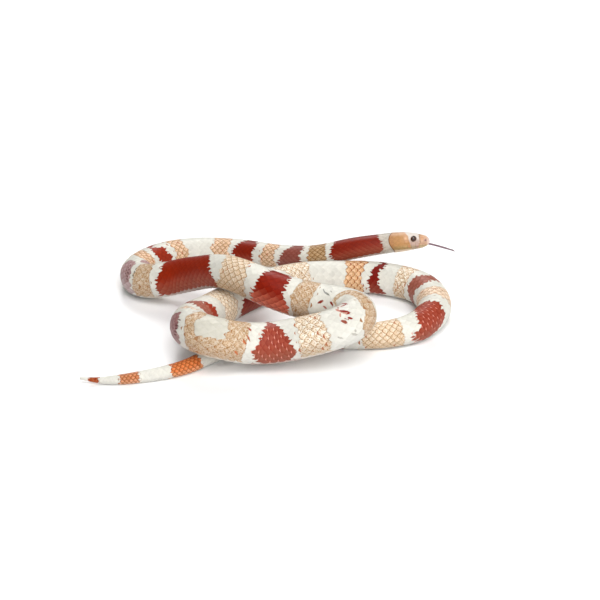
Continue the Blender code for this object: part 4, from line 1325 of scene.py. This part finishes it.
# Materials
def add_node(tree, kind, inputs=None, **settings):
    """Adds a node with its settings, and sets or links its inputs."""
    made = tree.nodes.new(kind)
    for name, value in settings.items():
        setattr(made, name, value)
    for socket, value in (inputs or {}).items():
        if isinstance(value, bpy.types.NodeSocket):
            tree.links.new(value, made.inputs[socket])
        else:
            made.inputs[socket].default_value = value
    return made


def blank_material(name):
    made = bpy.data.materials.new(name)
    made.use_nodes = True
    tree = made.node_tree
    return made, tree, tree.nodes["Principled BSDF"]


def opaque(code):
    return (*hex_colour(code), 1.0)


def net_strength(tree, speckled):
    """The dustier a ring, the fainter its net: speckled x (2 - speckled)."""
    rest = add_node(tree, "ShaderNodeMath", {0: 2.0, 1: speckled}, operation="SUBTRACT")
    return add_node(tree, "ShaderNodeMath", {0: rest.outputs[0], 1: speckled},
                    operation="MULTIPLY").outputs[0]


def inside_strokes(tree, stroke, grains):
    """How far a place is inside the nearest stroke: the strokes are ovals with ragged edges."""
    parts = add_node(tree, "ShaderNodeSeparateXYZ", {"Vector": stroke.outputs["Vector"]}).outputs
    reach = []
    for a, b in ((parts["X"], parts["Y"]), (parts["Z"], stroke.outputs["Alpha"])):
        oval = add_node(tree, "ShaderNodeCombineXYZ", {"X": a, "Y": b}).outputs["Vector"]
        reach.append(add_node(tree, "ShaderNodeVectorMath", {0: oval}, operation="LENGTH"))
    nearer = add_node(tree, "ShaderNodeMath", {
        0: reach[0].outputs["Value"], 1: reach[1].outputs["Value"]}, operation="MINIMUM")
    ragged = add_node(tree, "ShaderNodeMath", {0: grains, 1: 1.4, 2: 0.3},
                      operation="MULTIPLY_ADD")
    return add_node(tree, "ShaderNodeMath", {0: ragged.outputs[0], 1: nearer.outputs[0]},
                    operation="SUBTRACT").outputs[0]


def ringed_markings(tree, place):
    """A scale's two colours parted by its ring's edge, with speckles, a net and marked tips."""
    own, beyond, edge, line, tip, tip_edge, rim, stroke = (
        add_node(tree, "ShaderNodeAttribute", attribute_name=label)
        for label in ("markings", "markings_beyond", "ring_edge", "edge_line", "tip_colour",
                      "tip_edge", "rim_line", "stroke_place"))
    grains = add_node(tree, "ShaderNodeTexNoise", {
        "Vector": place, "Scale": 1.0 / (SPECKLE_SIZE * MM), "Detail": 2.0}).outputs["Fac"]
    from_edge = add_node(tree, "ShaderNodeMath", {0: edge.outputs["Fac"]}, operation="ABSOLUTE")
    # Each share: what it is read from, where it starts and ends, and how strong it gets
    side, speckles, net, outline, marked, in_stroke = (
        add_node(tree, "ShaderNodeMapRange", {
            "Value": value, "From Min": start, "From Max": end, "To Max": most}).outputs["Result"]
        for value, start, end, most in (
            (edge.outputs["Fac"], -0.1, 0.1, 1.0),
            (grains, 0.50, 0.62, SPECKLE_STRENGTH),
            (rim.outputs["Fac"], NET_LINE + 0.15, NET_LINE - 0.15, NET_STRENGTH),
            (from_edge.outputs[0], 0.42, 0.16, 1.0),
            (tip_edge.outputs["Fac"], -0.1, 0.1, 1.0),
            (inside_strokes(tree, stroke, grains), -0.12, 0.12, 1.0)))
    speckled = add_node(tree, "ShaderNodeMix", {
        0: side, 2: own.outputs["Alpha"], 3: beyond.outputs["Alpha"]}).outputs[0]
    speckles, net, outline = (
        add_node(tree, "ShaderNodeMath", {0: share, 1: strength}, operation="MULTIPLY").outputs[0]
        for share, strength in ((speckles, speckled), (net, net_strength(tree, speckled)),
                                (outline, line.outputs["Fac"])))
    colour = own.outputs["Color"]
    for share, top, blend_type in (
            (side, beyond.outputs["Color"], "MIX"),
            (speckles, opaque("A67C4C"), "MIX"),
            (net, opaque("AC946C"), "MULTIPLY"),
            (outline, opaque("7A5230"), "MIX"),
            (marked, tip.outputs["Color"], "MIX"),
            (in_stroke, tip.outputs["Color"], "MIX")):
        colour = add_node(tree, "ShaderNodeMix", {"Factor": share, 6: colour, 7: top},
                          data_type="RGBA", blend_type=blend_type).outputs[2]
    return colour


def keratin(name, roughness, grain_size, grain_depth, mottle, shine, ringed=False):
    """Smooth snake scale keratin: colour from the markings, faint mottling, satin shine."""
    made, tree, shader = blank_material(name)
    place = add_node(tree, "ShaderNodeTexCoord").outputs["Object"]
    if ringed:
        colour = ringed_markings(tree, place)
    else:
        colour = add_node(tree, "ShaderNodeAttribute", attribute_name="markings").outputs["Color"]
    cloud = add_node(tree, "ShaderNodeTexNoise", {
        "Vector": place, "Scale": 1.0 / (CLOUD_SIZE * MM), "Detail": 3.0, "Roughness": 0.6})
    tone, sheen = (
        add_node(tree, "ShaderNodeMapRange", {
            "Value": cloud.outputs["Fac"], "From Min": 0.3, "From Max": 0.7, "To Min": least,
            "To Max": most}).outputs["Result"]
        for least, most in ((1.0 - mottle, 1.0 + 0.5 * mottle),
                            (roughness - 0.05, roughness + 0.06)))
    tinted = add_node(tree, "ShaderNodeVectorMath", {0: colour, 1: tone}, operation="MULTIPLY")
    grain = add_node(tree, "ShaderNodeTexNoise", {
        "Vector": place, "Scale": 1.0 / (grain_size * MM), "Detail": 2.0})
    relief = add_node(tree, "ShaderNodeBump", {
        "Height": grain.outputs["Fac"], "Distance": grain_depth * MM, "Strength": 0.5})
    tree.links.new(tinted.outputs["Vector"], shader.inputs["Base Color"])
    tree.links.new(relief.outputs["Normal"], shader.inputs["Normal"])
    tree.links.new(sheen, shader.inputs["Roughness"])
    shader.inputs["IOR"].default_value = 1.54
    shader.inputs["Specular IOR Level"].default_value = shine
    return made


def wet_surface(name, roughness, coat_roughness, mottle):
    """A moist or glassy surface: colour from the markings under a clear wet coat."""
    made, tree, shader = blank_material(name)
    markings = add_node(tree, "ShaderNodeAttribute", attribute_name="markings")
    place = add_node(tree, "ShaderNodeTexCoord").outputs["Object"]
    fibres = add_node(tree, "ShaderNodeTexNoise", {
        "Vector": place, "Scale": 1.0 / (FIBRE_SIZE * MM), "Detail": 3.0})
    tone = add_node(tree, "ShaderNodeMapRange", {
        "Value": fibres.outputs["Fac"], "From Min": 0.3, "From Max": 0.7, "To Min": 1.0 - mottle,
        "To Max": 1.0 + mottle})
    tinted = add_node(tree, "ShaderNodeVectorMath", {
        0: markings.outputs["Color"], 1: tone.outputs["Result"]}, operation="MULTIPLY")
    tree.links.new(tinted.outputs["Vector"], shader.inputs["Base Color"])
    for socket, value in (("Roughness", roughness), ("IOR", 1.38), ("Coat Weight", 1.0),
                          ("Coat IOR", 1.34), ("Coat Roughness", coat_roughness)):
        shader.inputs[socket].default_value = value
    return made


# Head shields are smooth, slightly waxy keratin: a soft, broad highlight along crown and snout
shield_keratin = keratin("head_shield_keratin", 0.38, 0.35, 0.01, 0.05, 0.22)
# Back scales are unkeeled keratin: satin, with a dull gleam and no hard highlights
scale_keratin = keratin("smooth_scale_keratin", 0.45, 0.30, 0.008, 0.07, 0.12, ringed=True)
# Belly plates are polished by the ground: the same keratin, a little smoother and more even
belly_keratin = keratin("belly_plate_keratin", 0.40, 0.40, 0.006, 0.04, 0.15)
# The brille is a clear, moist scale: a sharp glint over a dark brown iris
cornea = wet_surface("clear_brille_over_dark_iris", 0.25, 0.03, 0.25)
# The tongue is wet tissue: a dark mauve with a blurred gleam along it
moist_tongue = wet_surface("moist_tongue_tissue", 0.35, 0.15, 0.18)

# The animal
flesh = ["head", "lower_jaw", "neck", *[f"trunk_{k:02d}" for k in range(1, 14)], "tail_1", "tail_2"]
skin = make_skin(shield_keratin)
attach(skin, "root")
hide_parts(*flesh)
for piece in make_scales(scale_keratin):
    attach(piece, "root")
for piece in make_belly(belly_keratin):
    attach(piece, "root")
for side_name, piece in make_eyes(cornea):
    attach(piece, "root")
    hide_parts(f"eye_{side_name}")
tongue = make_tongue(moist_tongue)
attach(tongue, "root")
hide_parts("tongue")

# Floor, light and camera, in metres and watts
VIEW_TARGET = Vector((0.01366, 0.02478, 0.0))
CAMERA_PLACE = Vector((0.01366, -0.97216, 0.46488))
SOFTBOXES = [
    ("softbox_overhead", (0.18, -0.65, 1.45), 1.0, 17.0),
    ("softbox_front", (0.35, -1.45, 0.75), 1.0, 13.5),
    ("softbox_behind", (-0.10, 1.4, 1.3), 0.8, 21.0),
    ("softbox_right", (1.4, -0.3, 0.9), 1.0, 7.0),
]


def make_floor():
    """A pale paper sweep: matt, so that shadows lie on it without a reflection."""
    bm = bmesh.new()
    bmesh.ops.create_grid(bm, x_segments=1, y_segments=1, size=6.0)
    mesh = bpy.data.meshes.new("pale_floor")
    bm.to_mesh(mesh)
    bm.free()
    paper, _, shader = blank_material("pale_backdrop_paper")
    shader.inputs["Base Color"].default_value = opaque("FAFAFA")
    shader.inputs["Roughness"].default_value = 0.9
    shader.inputs["Specular IOR Level"].default_value = 0.1
    new_piece("pale_floor", mesh, paper)


def place_aimed(name, data, place):
    """Puts a lamp or camera in the scene, aimed at the middle of the view."""
    made = bpy.data.objects.new(name, data)
    bpy.context.scene.collection.objects.link(made)
    made.location = place
    made.rotation_euler = (VIEW_TARGET - made.location).to_track_quat("-Z", "Y").to_euler()
    return made


make_floor()
for light_name, light_place, light_size, watts in SOFTBOXES:
    softbox = bpy.data.lights.new(light_name, "AREA")
    softbox.shape = "SQUARE"
    softbox.size = light_size
    softbox.energy = watts
    place_aimed(light_name, softbox, light_place)

world = bpy.data.worlds.new("white_room")
bpy.context.scene.world = world
world.use_nodes = True
world.node_tree.nodes["Background"].inputs["Color"].default_value = (1.0, 1.0, 1.0, 1.0)
world.node_tree.nodes["Background"].inputs["Strength"].default_value = 0.08

camera_data = bpy.data.cameras.new("photo_camera")
camera_data.sensor_width = 36.0
camera_data.lens = 103.125
bpy.context.scene.camera = place_aimed("photo_camera", camera_data, CAMERA_PLACE)
bpy.context.scene.view_settings.view_transform = "Standard"
